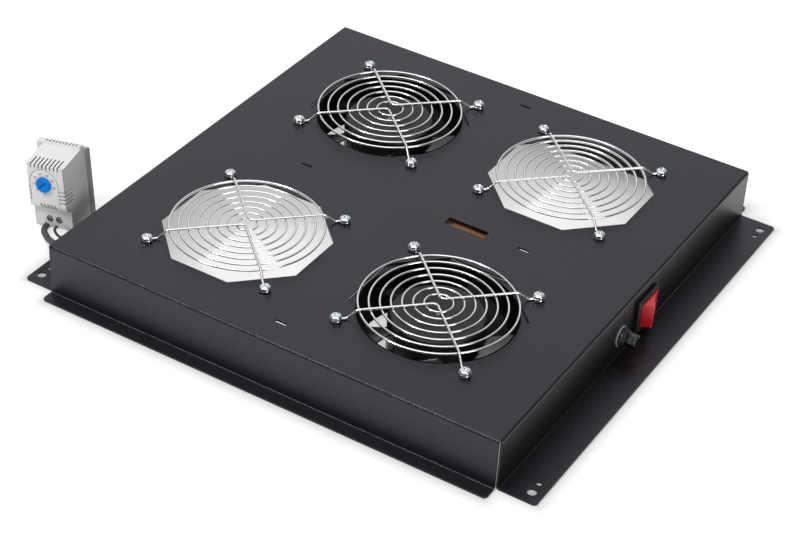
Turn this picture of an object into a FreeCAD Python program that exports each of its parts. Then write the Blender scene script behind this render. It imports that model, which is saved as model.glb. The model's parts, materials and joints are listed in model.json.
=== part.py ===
import FreeCAD, Part
import math
import os

# Rack fan tray: a folded steel tray with four fan bays, two of them fitted with mains fans,
# a wire finger guard over every bay, a rocker switch, a fuse holder and a small thermostat
# on a lead behind the tray.
# Frame: millimetres, +Z up, the switch side faces -Y. z = 0 is the underside of the flanges,
# x = y = 0 is the middle of the four rack bolt holes.

V = FreeCAD.Vector
UP = V(0, 0, 1)

# Folded tray
BOX_W = 397.0
BOX_D = 380.0
BOX_H = 43.0
SHEET = 1.5
BEND_R = 2.5
SEAM = 1.8
FRONT_FLANGE = 29.0
BACK_FLANGE = 24.5
SIDE_FLANGE = 11.0
FLANGE_CORNER_R = 3.0

# Rack bolt holes and the smaller screw holes beside them
RACK_X = 373.0
FRONT_HOLE_OUT = 20.5
BACK_HOLE_OUT = 17.5
RACK_HOLE_D = 7.0
PILOT_X = 353.0
PILOT_D = 4.0

# Fan bays
BAY_X = 99.5
BAY_Y = 82.5
BAY_FLATS = 120.0
BAY_SCREWS = 104.8
BAY_HOLE_D = 4.5

# Openings in the top
SLOT_L = 10.0
SLOT_W = 2.6
SLOT_X = 176.0
SLOT_Y = 96.0
ACCESS_W = 8.6
ACCESS_L = 34.0
ACCESS_Y = -47.5

# Finger guards
WIRE_D = 1.8
GUARD_R = 57.5
GUARD_LIFT = 6.0
BEND_X = 2.8
SPOKE_BEND_R = 4.0
FAN_BAY_RINGS = 7
FAN_BAY_INNER_R = 10.4
OPEN_BAY_RINGS = 8
OPEN_BAY_INNER_R = 7.8
WELD = 0.25

# M4 guard screws
SCREW_D = 3.9
HEAD_D = 8.6
HEAD_H = 2.6
WASHER_D = 9.0
WASHER_T = 0.8
NUT_AF = 7.0
NUT_T = 3.2
THREAD_FIT = 0.03

# Mains fans
FAN_EDGE = 0.25
FAN_DEPTH = 38.0
FAN_FLANGE_T = 3.0
FAN_CORNER_R = 7.0
FAN_HOLE_D = 4.5
FAN_WALL_T = 2.3
FAN_MOUTH = 1.7
HUB_R = 36.0
HUB_WALL = 3.5
HUB_TOP_GAP = 1.6
HUB_H = 30.0
MOTOR_BASE_R = 34.5
MOTOR_BASE_T = 3.0
STRUT_W = 7.0
STRUT_H = 4.0
TUBE_R = 7.5
BEARING_R = 5.5
BEARING_L = 5.0
SHAFT_R = 2.0
SHAFT_FIT = 0.04
PRESS_FIT = 0.02
BLADES = 5
BLADE_TIP_R = 56.3
TIP_GAP = 0.9
BLADE_SPAN_DEG = 48.0
BLADE_RISE = 17.0
BLADE_T = 2.0
BLADE_SWEEP_DEG = 12.0
BLADE_BOW = 3.0
PLUG_OUT = 9.0
PLUG_L = 14.0
PLUG_H = 10.0
BLADE_PHASE_DEG = 19.0

# Rocker switch
SWITCH_X = 16.7
SWITCH_Z = 21.6
BEZEL_W = 31.5
BEZEL_H = 25.5
BEZEL_T = 3.4
BEZEL_R = 1.5
SWITCH_CUT_W = 30.0
SWITCH_CUT_H = 22.4
SWITCH_BODY_GAP = 0.2
SWITCH_BODY_L = 20.0
ROCKER_W = 19.4
ROCKER_GAP = 0.3
ROCKER_R = 12.2
ROCKER_END_GAP = 0.8
ROCKER_RIDGE_X = 10.4
ROCKER_RIDGE_H = 9.0
ROCKER_VALLEY_H = 7.6
ROCKER_TILT_DEG = 19.0
PIVOT_IN = 0.6
PIVOT_R = 1.5
PIVOT_L = 0.7
PIVOT_FIT = 0.05
BLADE_TAB_W = 6.3
BLADE_TAB_T = 0.8
BLADE_TAB_L = 9.0

# Fuse holder
FUSE_X = -19.8
FUSE_Z = 17.6
FUSE_HOLE_D = 13.0
FUSE_FLANGE_D = 15.5
FUSE_FLANGE_T = 2.0
FUSE_WASHER_D = 16.6
FUSE_WASHER_T = 1.0
FUSE_COLLAR_D = 13.0
FUSE_COLLAR_L = 2.6
FUSE_BARREL_D = 12.4
FUSE_BARREL_L = 29.0
FUSE_BORE_D = 9.0
FUSE_CARRIER_FIT = 0.08
FUSE_CAP_D = 11.2
FUSE_CAP_L = 8.0
FUSE_NUT_AF = 16.0
FUSE_NUT_T = 4.0
FUSE_LINK_D = 5.2
FUSE_LINK_L = 20.0

# Terminal board under the access opening
BOARD_W = 30.0
BOARD_L = 84.0
BOARD_T = 1.6
BOARD_DROP = 4.0
PAD_L = 8.0
BLOCK_W = 24.0
BLOCK_L = 62.0
BLOCK_H = 15.0
BLOCK_WAYS = 6
BLOCK_PITCH = 9.6
BLOCK_SCREW_D = 4.4

# Thermostat: its place on the floor behind the tray, turned and tilted as it stands
THERMO_IN = 56.3
THERMO_BEHIND = 44.4
THERMO_Z = 4.55
THERMO_YAW = 8.1
THERMO_LEAN = 4.0
THERMO_ROLL = 6.1
TH_W = 33.0
TH_H = 61.8
TH_SHOULDER = 17.4
TH_SHOULDER_R = 5.2
TH_CORNER_R = 1.6
TH_FACE_TOP = 55.5
TH_SLOPE_TOP = 60.3
TH_RECESS = 5.4
TH_RIM_Y = 25.7
TH_DEPTH = 31.3
TH_EAR = 5.7
TH_WALL = 1.6
TH_BASE_T = 7.4
TH_BASE_H = 57.5
DIAL_X = -1.8
DIAL_Z = 39.7
DIAL_R = 6.2
DIAL_T = 1.8
DIAL_GAP = 0.35
DIAL_SHAFT_R = 2.4
DIAL_FIT = 0.06
ARCH_R = 12.4
ARCH_CUT = 0.5
GRIP_W = 1.1
GRIP_CUT = 0.6
GRIP_BACK = 10.5
GRIPS = 4
GRIP_LOW = 25.5
GRIP_PITCH = 3.1
TERM_X1 = -3.5
TERM_X2 = 4.6
TERM_Z = 7.4
TERM_R = 2.5

# Cords
LEAD_D = 5.0
CORE_D = 2.2
FAN_LEAD_D = 3.6
CORD_FIT = 0.05
GROMMET_D = 15.0
GROMMET_HOLE_D = 11.5
LEAD_DROP = 1.3
CORE_RISE = 2.8
LEAD_HOLE_IN = 38.5
LEAD_HOLE_Z = 18.0
GLAND_X = 60.0
GLAND_Z = 21.0
GLAND_HOLE_D = 12.5

# Places that follow from the sizes above
CENTRE_Y = (FRONT_HOLE_OUT - BACK_HOLE_OUT) / 2
FRONT_Y = CENTRE_Y - BOX_D / 2
BACK_Y = CENTRE_Y + BOX_D / 2
RACK_Y = (BOX_D + FRONT_HOLE_OUT + BACK_HOLE_OUT) / 2
CEILING = BOX_H - SHEET
FAN_BOTTOM = CEILING - FAN_DEPTH
HUB_TOP = CEILING - HUB_TOP_GAP
HUB_BOTTOM = HUB_TOP - HUB_H
PLUG_Z = FAN_BOTTOM + 11.0
FAN_BORE_R = BLADE_TIP_R + TIP_GAP
FAN_WALL_R = FAN_BORE_R + FAN_WALL_T
FAN_MOUTH_R = FAN_BORE_R + FAN_MOUTH
FAN_SIZE = 2 * (FAN_WALL_R + FAN_EDGE)
TH_FACE_LOW = TH_SHOULDER + TH_SHOULDER_R
LEAD_HOLE_X = LEAD_HOLE_IN - BOX_W / 2
BOARD_Z = CEILING - BOARD_DROP - BOARD_T
BLOCK_Z = BOARD_Z - BLOCK_H / 2
BOARD_Y = CENTRE_Y + ACCESS_Y
BLOCK_FRONT = BOARD_Y - BLOCK_L / 2
BLOCK_BACK = BOARD_Y + BLOCK_L / 2
PIVOT_Y = FRONT_Y + PIVOT_IN
LOOP_TOP = BOX_H + WIRE_D * math.sqrt(math.pi / 2)


def box(x0, x1, y0, y1, z0, z1):
    """Box between two corners."""
    return Part.makeBox(x1 - x0, y1 - y0, z1 - z0, V(x0, y0, z0))


def rod(r, length, base, axis=UP):
    """Cylinder from a base point along an axis."""
    return Part.makeCylinder(r, length, base, axis)


def ring(r_out, r_in, length, base, axis=UP):
    """Flat ring or bush."""
    return rod(r_out, length, base, axis).cut(rod(r_in, length, base, axis))


def turned(points, base, axis=UP):
    """Solid turned from (radius, height) points about an axis through the base point."""
    corners = [V(r, 0, h) for r, h in points]
    face = Part.Face(Part.makePolygon(corners + [corners[0]]))
    solid = face.revolve(V(0, 0, 0), UP, 360)
    solid.Placement = FreeCAD.Placement(base, FreeCAD.Rotation(UP, axis))
    return solid


def prism(points, direction):
    """Straight solid swept from a closed outline of points."""
    return Part.Face(Part.makePolygon(points + [points[0]])).extrude(direction)


def hexagon(flats, thickness, base, axis=UP, bore=0.0):
    """Hexagon nut with its bore."""
    r = flats / math.sqrt(3)
    corners = [V(r * math.cos(math.pi * k / 3), r * math.sin(math.pi * k / 3), 0) for k in range(6)]
    nut = prism(corners, V(0, 0, thickness))
    if bore > 0:
        nut = nut.cut(rod(bore / 2, thickness, V(0, 0, 0)))
    nut.Placement = FreeCAD.Placement(base, FreeCAD.Rotation(UP, axis))
    return nut


def round_edges(shape, radius, wanted):
    """Fillet the straight edges that the test picks."""
    picked = [e for e in shape.Edges if len(e.Vertexes) == 2 and wanted(e.Vertexes[0], e.Vertexes[1])]
    return shape.makeFillet(radius, picked)


def near(a, b):
    return abs(a - b) < 0.01


def route(points, limit=1000.0):
    """Straight runs joined by tangent arcs; returns the wire, its length and its radii."""
    edges = []
    radii = []
    length = 0.0
    start = points[0]
    for before, corner, after in zip(points, points[1:], points[2:]):
        back = (before - corner).normalize()
        ahead = (after - corner).normalize()
        half = (math.pi - back.getAngle(ahead)) / 2
        reach = 0.45 * min((before - corner).Length, (after - corner).Length)
        radius = reach / math.tan(half)
        if radius > limit:
            radius = limit
            reach = limit * math.tan(half)
        inward = (back + ahead).normalize()
        first = corner + back * reach
        last = corner + ahead * reach
        middle = corner + inward * (radius / math.cos(half) - radius)
        edges.append(Part.LineSegment(start, first).toShape())
        edges.append(Part.Arc(first, middle, last).toShape())
        length += (first - start).Length + 2 * half * radius
        radii.append(radius)
        start = last
    edges.append(Part.LineSegment(start, points[-1]).toShape())
    length += (points[-1] - start).Length
    return Part.Wire(edges), length, radii


def round_bar(points, diameter, limit=1000.0):
    """Round cord swept along a route."""
    wire, length, radii = route(points, limit)
    circle = Part.Circle(points[0], points[1] - points[0], diameter / 2).toShape()
    solid = wire.makePipeShell([Part.Wire([circle])], True, False)
    return solid, length, radii


def facet_r(diameter):
    """Corner radius of a four-sided wire with the round wire's area."""
    return diameter / 2 * math.sqrt(math.pi / 2)


def wire_bar(points, diameter, limit):
    """Guard wire swept along a route, four-sided so that its many lengths stay light."""
    wire = route(points, limit)[0]
    r = facet_r(diameter)
    along = (points[1] - points[0]).normalize()
    side = along.cross(UP).normalize()
    rise = side.cross(along).normalize()
    corners = [points[0] + side * r, points[0] + rise * r, points[0] - side * r, points[0] - rise * r]
    return wire.makePipeShell([Part.makePolygon(corners + [corners[0]])], True, False)


def wire_ring(r, diameter, centre):
    """Closed guard wire with the same four-sided section."""
    a = facet_r(diameter)
    return turned([(r - a, 0), (r, a), (r + a, 0), (r, -a)], centre)


def cord(name, points, diameter):
    """Cord held at both ends, with its radii and its volume against section times length."""
    solid, length, radii = round_bar(points, diameter)
    ideal = math.pi * diameter * diameter / 4 * length
    print(name, "length", round(length, 1), "radii", [round(r, 1) for r in radii],
          "volume ratio", round(solid.Volume / ideal, 4))
    return solid


def bay_centres():
    """Middles of the four bays: two vacant, two with fans."""
    vacant = [V(-BAY_X, CENTRE_Y + BAY_Y, 0), V(BAY_X, CENTRE_Y - BAY_Y, 0)]
    fitted = [V(-BAY_X, CENTRE_Y - BAY_Y, 0), V(BAY_X, CENTRE_Y + BAY_Y, 0)]
    return vacant, fitted


def corners_of(centre, pitch):
    """Four corners of a square around a centre."""
    half = pitch / 2
    return [centre + V(sx * half, sy * half, 0) for sx in (-1, 1) for sy in (-1, 1)]


# Folded tray

def channel(half, flange_a, flange_b, run):
    """Sheet folded to a top, two walls and two outward flanges, running along Y."""
    a = half + flange_a
    b = half + flange_b
    inner = half - SHEET
    outline = [V(-a, 0, 0), V(-a, 0, SHEET), V(-half, 0, SHEET), V(-half, 0, BOX_H),
               V(half, 0, BOX_H), V(half, 0, SHEET), V(b, 0, SHEET), V(b, 0, 0),
               V(inner, 0, 0), V(inner, 0, CEILING), V(-inner, 0, CEILING), V(-inner, 0, 0)]
    sheet = prism([p - V(0, run / 2, 0) for p in outline], V(0, run, 0))
    sheet = round_edges(sheet, FLANGE_CORNER_R, lambda p, q: near(p.X, q.X) and near(p.Y, q.Y)
                        and (near(p.X, -a) or near(p.X, b)))

    def fold(x, z):
        return lambda p, q: (not near(p.Y, q.Y) and near(abs(p.X), x) and near(abs(q.X), x)
                             and near(p.Z, z) and near(q.Z, z))
    sheet = round_edges(sheet, BEND_R, fold(half, BOX_H))
    sheet = round_edges(sheet, BEND_R - SHEET, fold(inner, CEILING))
    sheet = round_edges(sheet, BEND_R - SHEET, fold(half, SHEET))
    return round_edges(sheet, BEND_R, fold(inner, 0))


def octagon(centre):
    """Eight-sided cutter of a bay opening."""
    half = BAY_FLATS / 2
    short = half * math.tan(math.pi / 8)
    xs = [half, half, short, -short, -half, -half, -short, short]
    ys = [-short, short, half, half, short, -short, -half, -half]
    outline = [V(centre.x + x, centre.y + y, CEILING - 1) for x, y in zip(xs, ys)]
    return prism(outline, V(0, 0, SHEET + 2))


def slot(x, y):
    """Cutter of one narrow slot with round ends."""
    straight = SLOT_L - SLOT_W
    r = SLOT_W / 2
    cut = box(x - r, x + r, y - straight / 2, y + straight / 2, CEILING - 1, BOX_H + 1)
    cut = cut.fuse(rod(r, SHEET + 2, V(x, y - straight / 2, CEILING - 1)))
    return cut.fuse(rod(r, SHEET + 2, V(x, y + straight / 2, CEILING - 1)))


def tray_shell():
    sides = channel(BOX_W / 2, SIDE_FLANGE, SIDE_FLANGE, BOX_D - 2 * SEAM)
    ends = channel(BOX_D / 2, FRONT_FLANGE, BACK_FLANGE, BOX_W - 2 * SEAM)
    ends.rotate(V(0, 0, 0), UP, 90)
    shell = sides.fuse(ends)
    shell.translate(V(0, CENTRE_Y, 0))
    vacant, fitted = bay_centres()
    cuts = [octagon(c) for c in vacant + fitted]
    for centre in vacant + fitted:
        for p in corners_of(centre, BAY_SCREWS):
            cuts.append(rod(BAY_HOLE_D / 2, SHEET + 2, V(p.x, p.y, CEILING - 1)))
    for sign in (-1, 1):
        cuts.append(slot(sign * SLOT_X, CENTRE_Y))
        cuts.append(slot(0, CENTRE_Y + sign * SLOT_Y))
        for end in (-1, 1):
            cuts.append(rod(RACK_HOLE_D / 2, SHEET + 2, V(sign * RACK_X / 2, end * RACK_Y, -1)))
            cuts.append(rod(PILOT_D / 2, SHEET + 2, V(sign * PILOT_X / 2, end * RACK_Y, -1)))
    cuts.append(box(-ACCESS_W / 2, ACCESS_W / 2, BOARD_Y - ACCESS_L / 2, BOARD_Y + ACCESS_L / 2,
                    CEILING - 1, BOX_H + 1))
    cuts.append(box(SWITCH_X - SWITCH_CUT_W / 2, SWITCH_X + SWITCH_CUT_W / 2, FRONT_Y - 1,
                    FRONT_Y + SHEET + 1, SWITCH_Z - SWITCH_CUT_H / 2, SWITCH_Z + SWITCH_CUT_H / 2))
    inward = V(0, 1, 0)
    cuts.append(rod(FUSE_HOLE_D / 2, SHEET + 2, V(FUSE_X, FRONT_Y - 1, FUSE_Z), inward))
    cuts.append(rod(GROMMET_HOLE_D / 2, SHEET + 2, V(LEAD_HOLE_X, BACK_Y - SHEET - 1, LEAD_HOLE_Z), inward))
    cuts.append(rod(GLAND_HOLE_D / 2, SHEET + 2, V(GLAND_X, BACK_Y - SHEET - 1, GLAND_Z), inward))
    return shell.cut(cuts).removeSplitter()


# Finger guards and their screws

def spoke(centre, side, spoke_z, foot_z):
    """Wire from one guard screw in to the middle and out to the next, with a loop at each end."""
    half = BAY_SCREWS / 2
    loop_r = SCREW_D / 2 + facet_r(WIRE_D) + 0.15
    screws = [centre + V(side * half, -half, 0), centre + V(side * half, half, 0)]
    bend = centre + V(side * BEND_X, 0, 0)
    first = (bend - screws[0]).normalize()
    second = (bend - screws[1]).normalize()
    path = [screws[0] + first * loop_r + V(0, 0, foot_z), screws[0] + first * 7.5 + V(0, 0, foot_z),
            screws[0] + first * 15.5 + V(0, 0, spoke_z), bend + V(0, 0, spoke_z),
            screws[1] + second * 15.5 + V(0, 0, spoke_z), screws[1] + second * 7.5 + V(0, 0, foot_z),
            screws[1] + second * loop_r + V(0, 0, foot_z)]
    bar = wire_bar(path, WIRE_D, SPOKE_BEND_R)
    loops = [wire_ring(loop_r, WIRE_D, s + V(0, 0, foot_z)) for s in screws]
    return [bar] + loops


def finger_guard(centre, rings, inner_r):
    """Welded wire guard: concentric rings under two bent spokes."""
    ring_z = BOX_H + GUARD_LIFT
    spoke_z = ring_z + 2 * facet_r(WIRE_D) - WELD
    foot_z = BOX_H + facet_r(WIRE_D)
    pitch = (GUARD_R - inner_r) / (rings - 1)
    wires = [wire_ring(inner_r + pitch * k, WIRE_D, centre + V(0, 0, ring_z)) for k in range(rings)]
    wires += spoke(centre, -1, spoke_z, foot_z)
    wires += spoke(centre, 1, spoke_z, foot_z)
    return wires[0].multiFuse(wires[1:])


def pan_screw(seat, length):
    """Pan head screw pointing down from its seat."""
    r = HEAD_D / 2
    points = [(0, -length), (SCREW_D / 2, -length), (SCREW_D / 2, 0), (r, 0), (r, HEAD_H * 0.45),
              (r * 0.72, HEAD_H * 0.9), (0, HEAD_H)]
    return turned(points, seat)


def guard_screws(centres, seat_z, length):
    solids = []
    for centre in centres:
        solids += [pan_screw(V(p.x, p.y, seat_z), length) for p in corners_of(centre, BAY_SCREWS)]
    return Part.makeCompound(solids)


def guard_washers(centres):
    solids = []
    for centre in centres:
        for p in corners_of(centre, BAY_SCREWS):
            base = V(p.x, p.y, LOOP_TOP)
            solids.append(ring(WASHER_D / 2, SCREW_D / 2 + THREAD_FIT, WASHER_T, base))
    return Part.makeCompound(solids)


def guard_nuts(centres, top_z):
    solids = []
    for centre in centres:
        for p in corners_of(centre, BAY_SCREWS):
            base = V(p.x, p.y, top_z - NUT_T)
            solids.append(hexagon(NUT_AF, NUT_T, base, UP, SCREW_D + 2 * THREAD_FIT))
    return Part.makeCompound(solids)


# Mains fans

def fan_frame(centre):
    """Cast frame: two square flanges joined by the duct, struts and motor base below."""
    half = FAN_SIZE / 2
    plate = box(-half, half, -half, half, FAN_BOTTOM, FAN_BOTTOM + FAN_FLANGE_T)
    plate = round_edges(plate, FAN_CORNER_R, lambda p, q: not near(p.Z, q.Z))
    plate = plate.cut(rod(FAN_BORE_R + 0.5, FAN_FLANGE_T, V(0, 0, FAN_BOTTOM)))
    for p in corners_of(V(0, 0, 0), BAY_SCREWS):
        plate = plate.cut(rod(FAN_HOLE_D / 2, FAN_FLANGE_T, V(p.x, p.y, FAN_BOTTOM)))
    upper = plate.copy()
    upper.translate(V(0, 0, FAN_DEPTH - FAN_FLANGE_T))
    low = FAN_BOTTOM
    high = CEILING
    duct = turned([(FAN_WALL_R, low), (FAN_WALL_R, high), (FAN_MOUTH_R, high), (FAN_BORE_R, high - 6),
                   (FAN_BORE_R, low + 6), (FAN_MOUTH_R, low)], V(0, 0, 0))
    struts = []
    for k in range(4):
        bar = box(MOTOR_BASE_R - 2, FAN_BORE_R + 1, -STRUT_W / 2, STRUT_W / 2, low, low + STRUT_H)
        bar.rotate(V(0, 0, 0), UP, 45 + 90 * k)
        struts.append(bar)
    base = rod(MOTOR_BASE_R, MOTOR_BASE_T, V(0, 0, low))
    tube = ring(TUBE_R, BEARING_R, HUB_TOP - 6.0 - low, V(0, 0, low))
    frame = duct.multiFuse([plate, upper, base, tube] + struts)
    frame = frame.cut(rod(BEARING_R, FAN_DEPTH, V(0, 0, low + 1.2)))
    frame.translate(centre)
    return frame


def fan_core(centre):
    """Laminated stator core on the bearing tube, four poles."""
    low = FAN_BOTTOM + MOTOR_BASE_T + 7.0
    height = 11.0
    core = ring(13.0, TUBE_R + PRESS_FIT, height, V(0, 0, low))
    shoe = ring(HUB_R - HUB_WALL - 1.0, HUB_R - HUB_WALL - 5.0, height, V(0, 0, low))
    slots = []
    for k in range(4):
        pole = box(11.5, HUB_R - HUB_WALL - 3.0, -4.5, 4.5, low, low + height)
        pole.rotate(V(0, 0, 0), UP, 90 * k)
        core = core.fuse(pole)
        gap = box(20, 40, -3.5, 3.5, low, low + height)
        gap.rotate(V(0, 0, 0), UP, 45 + 90 * k)
        slots.append(gap)
    core = core.fuse(shoe.cut(slots))
    core.translate(centre)
    return core


def fan_coils(centre):
    """Four wound coils, one round each pole."""
    low = FAN_BOTTOM + MOTOR_BASE_T + 7.0
    mid = low + 5.5
    solids = []
    for k in range(4):
        coil = box(14.5, 26.0, -8.0, 8.0, mid - 9.0, mid + 9.0)
        coil = coil.cut(box(14.5, 26.0, -4.55, 4.55, mid - 5.55, mid + 5.55))
        coil.rotate(V(0, 0, 0), UP, 90 * k)
        coil.translate(centre)
        solids.append(coil)
    return Part.makeCompound(solids)


def fan_bearings(centre):
    """Two ball bearings pressed into the tube."""
    low = centre + V(0, 0, FAN_BOTTOM + 1.2)
    high = centre + V(0, 0, HUB_TOP - 6.0 - BEARING_L)
    r_out = BEARING_R - PRESS_FIT
    return Part.makeCompound([ring(r_out, SHAFT_R + SHAFT_FIT, BEARING_L, p) for p in (low, high)])


def blade():
    """One twisted blade: cambered root and tip lines joined by a ruled sheet with a thickness."""
    rows = []
    root = HUB_R - HUB_WALL / 2
    for r, sweep in ((root, 0.0), (BLADE_TIP_R, BLADE_SWEEP_DEG)):
        row = []
        for j in range(4):
            t = j / 3
            angle = math.radians(sweep + BLADE_SPAN_DEG * t)
            bow = BLADE_BOW * math.sin(math.pi * t)
            row.append(V(r * math.cos(angle), r * math.sin(angle), BLADE_RISE * t + bow))
        rows.append(row)
    surface = Part.BSplineSurface()
    surface.interpolate(rows)
    return surface.toShape().extrude(V(0, 0, BLADE_T))


def fan_rotor(centre, turn):
    """Rotor: the outer hub cup with five blades."""
    r = HUB_R
    inner = HUB_R - HUB_WALL
    cup = turned([(SHAFT_R, HUB_TOP), (r - 2, HUB_TOP), (r, HUB_TOP - 2), (r, HUB_BOTTOM), (inner, HUB_BOTTOM),
                  (inner, HUB_TOP - 3), (6, HUB_TOP - 3), (6, HUB_TOP - 5.4), (SHAFT_R, HUB_TOP - 5.4)], V(0, 0, 0))
    first = blade()
    first.translate(V(0, 0, HUB_BOTTOM))
    solids = []
    for k in range(BLADES):
        piece = first.copy()
        piece.rotate(V(0, 0, 0), UP, BLADE_PHASE_DEG + turn + 360.0 / BLADES * k)
        solids.append(piece)
    rotor = cup.multiFuse(solids)
    keep = rod(SHAFT_R - 0.01, HUB_H, V(0, 0, HUB_BOTTOM))
    rotor = rotor.cut(keep)
    rotor.translate(centre)
    return rotor


def fan_shaft(centre):
    return rod(SHAFT_R, HUB_TOP - FAN_BOTTOM - 1.6, centre + V(0, 0, FAN_BOTTOM + 1.6))


def fan_plug(centre, side):
    """Moulded plug of the fan lead on the frame's side, with the lead leaving along the side."""
    x = FAN_SIZE / 2
    body = box(x, x + PLUG_OUT, -PLUG_L / 2, PLUG_L / 2, PLUG_Z - PLUG_H / 2, PLUG_Z + PLUG_H / 2)
    body = round_edges(body, 1.5, lambda p, q: near(p.X, x + PLUG_OUT) and near(q.X, x + PLUG_OUT))
    start = V(x + PLUG_OUT / 2, PLUG_L / 2 - 6, PLUG_Z)
    body = body.cut(rod(FAN_LEAD_D / 2 + CORD_FIT, 6, start, V(0, 1, 0)))
    if side < 0:
        body.rotate(V(0, 0, 0), UP, 180)
    body.translate(centre)
    return body


# Rocker switch

def switch_body():
    """Bezel and body in one moulding, open in front for the rocker."""
    w = BEZEL_W / 2
    h = BEZEL_H / 2
    bezel = box(-w, w, -BEZEL_T, 0, -h, h)
    bezel = round_edges(bezel, BEZEL_R, lambda p, q: near(p.X, q.X) and near(p.Z, q.Z))
    bezel = round_edges(bezel, 0.7, lambda p, q: near(p.Y, -BEZEL_T) and near(q.Y, -BEZEL_T))
    bw = SWITCH_CUT_W / 2 - SWITCH_BODY_GAP
    bh = SWITCH_CUT_H / 2 - SWITCH_BODY_GAP
    body = bezel.fuse(box(-bw, bw, 0, SWITCH_BODY_L, -bh, bh))
    reach = ROCKER_R + ROCKER_END_GAP
    body = body.cut(box(-reach, reach, -BEZEL_T, PIVOT_IN + 7.0, -ROCKER_W / 2 - ROCKER_GAP,
                        ROCKER_W / 2 + ROCKER_GAP))
    pin = ROCKER_W / 2 + PIVOT_L + 0.15
    body = body.cut(rod(PIVOT_R + PIVOT_FIT, 2 * pin, V(0, PIVOT_IN, -pin)))
    for x in (-9, 0, 9):
        for z in (-6, 6):
            body = body.cut(box(x - BLADE_TAB_T / 2 - 0.02, x + BLADE_TAB_T / 2 + 0.02, SWITCH_BODY_L - 4,
                                SWITCH_BODY_L, z - BLADE_TAB_W / 2, z + BLADE_TAB_W / 2))
    body.translate(V(SWITCH_X, FRONT_Y, SWITCH_Z))
    return body


def switch_rocker():
    """Wedge rocker on two short pins, resting with its -X end raised."""
    r = ROCKER_R
    outline = [V(-r, 0, 0), V(-ROCKER_RIDGE_X, -ROCKER_RIDGE_H, 0), V(0, -ROCKER_VALLEY_H, 0),
               V(ROCKER_RIDGE_X, -ROCKER_RIDGE_H, 0), V(r, 0, 0), V(r - 1.7, 2.2, 0), V(5, 4.2, 0),
               V(-5, 4.2, 0), V(1.7 - r, 2.2, 0)]
    wedge = prism([p - V(0, 0, ROCKER_W / 2) for p in outline], V(0, 0, ROCKER_W))
    wedge = round_edges(wedge, 0.6, lambda p, q: near(abs(p.X), ROCKER_RIDGE_X) and near(abs(q.X), ROCKER_RIDGE_X)
                        and not near(p.Z, q.Z))
    pin = ROCKER_W / 2 + PIVOT_L
    wedge = wedge.fuse(rod(PIVOT_R, 2 * pin, V(0, 0, -pin)))
    wedge.rotate(V(0, 0, 0), UP, ROCKER_TILT_DEG)
    wedge.translate(V(SWITCH_X, PIVOT_Y, SWITCH_Z))
    return wedge


def switch_terminals():
    solids = []
    y = FRONT_Y + SWITCH_BODY_L
    for x in (-9, 0, 9):
        for z in (-6, 6):
            tab = box(x - BLADE_TAB_T / 2, x + BLADE_TAB_T / 2, y - 4, y + BLADE_TAB_L,
                      z - BLADE_TAB_W / 2, z + BLADE_TAB_W / 2)
            tab.translate(V(SWITCH_X, 0, SWITCH_Z))
            solids.append(tab)
    return Part.makeCompound(solids)


# Fuse holder, with its axis along Y; heights below are measured out of the wall

def fuse_turned(points):
    return turned(points, V(FUSE_X, FRONT_Y, FUSE_Z), V(0, -1, 0))


def fuse_body():
    top = FUSE_WASHER_T + FUSE_FLANGE_T
    bore = FUSE_BORE_D / 2
    barrel = FUSE_BARREL_D / 2
    end = -FUSE_BARREL_L
    return fuse_turned([(bore, top + FUSE_COLLAR_L), (FUSE_COLLAR_D / 2, top + FUSE_COLLAR_L),
                        (FUSE_COLLAR_D / 2, top), (FUSE_FLANGE_D / 2, top), (FUSE_FLANGE_D / 2, FUSE_WASHER_T),
                        (barrel, FUSE_WASHER_T), (barrel, end + 8), (barrel - 2.2, end), (0, end),
                        (0, end + 2), (bore, end + 2)])


def fuse_washer():
    return fuse_turned([(FUSE_BARREL_D / 2 + 0.05, 0), (FUSE_WASHER_D / 2, 0), (FUSE_WASHER_D / 2, FUSE_WASHER_T),
                        (FUSE_BARREL_D / 2 + 0.05, FUSE_WASHER_T)])


def fuse_nut():
    base = V(FUSE_X, FRONT_Y + SHEET, FUSE_Z)
    return hexagon(FUSE_NUT_AF, FUSE_NUT_T, base, V(0, 1, 0), FUSE_BARREL_D + 2 * THREAD_FIT)


def fuse_contacts():
    """Rear tag and side tag of the holder."""
    y = FRONT_Y + FUSE_BARREL_L
    rear = box(FUSE_X - 2.4, FUSE_X + 2.4, y, y + 8, FUSE_Z - 0.4, FUSE_Z + 0.4)
    side_y = FRONT_Y + FUSE_BARREL_L - 14
    r = FUSE_BARREL_D / 2
    side = box(FUSE_X + r, FUSE_X + r + 1.0, side_y, side_y + 12, FUSE_Z - 2.4, FUSE_Z + 2.4)
    return Part.makeCompound([rear, side])


def fuse_carrier():
    """Sleeve that grips the fuse link and stands on the cap's stem."""
    face = FUSE_WASHER_T + FUSE_FLANGE_T + FUSE_COLLAR_L
    r = FUSE_BORE_D / 2 - FUSE_CARRIER_FIT
    link = FUSE_LINK_D / 2 + PRESS_FIT
    return fuse_turned([(0, face - 0.4), (2.5, face - 0.4), (2.5, face - 3), (r, face - 3), (r, face - 12),
                        (link, face - 12), (link, face - 6), (0, face - 6)])


def fuse_link():
    """Glass cartridge with its metal ends."""
    face = FUSE_WASHER_T + FUSE_FLANGE_T + FUSE_COLLAR_L
    top = face - 6
    r = FUSE_LINK_D / 2
    return fuse_turned([(0, top), (r, top), (r, top - 5), (r - 0.2, top - 5.4), (r - 0.2, top - 14.6),
                        (r, top - 15), (r, top - FUSE_LINK_L), (0, top - FUSE_LINK_L)])


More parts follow.
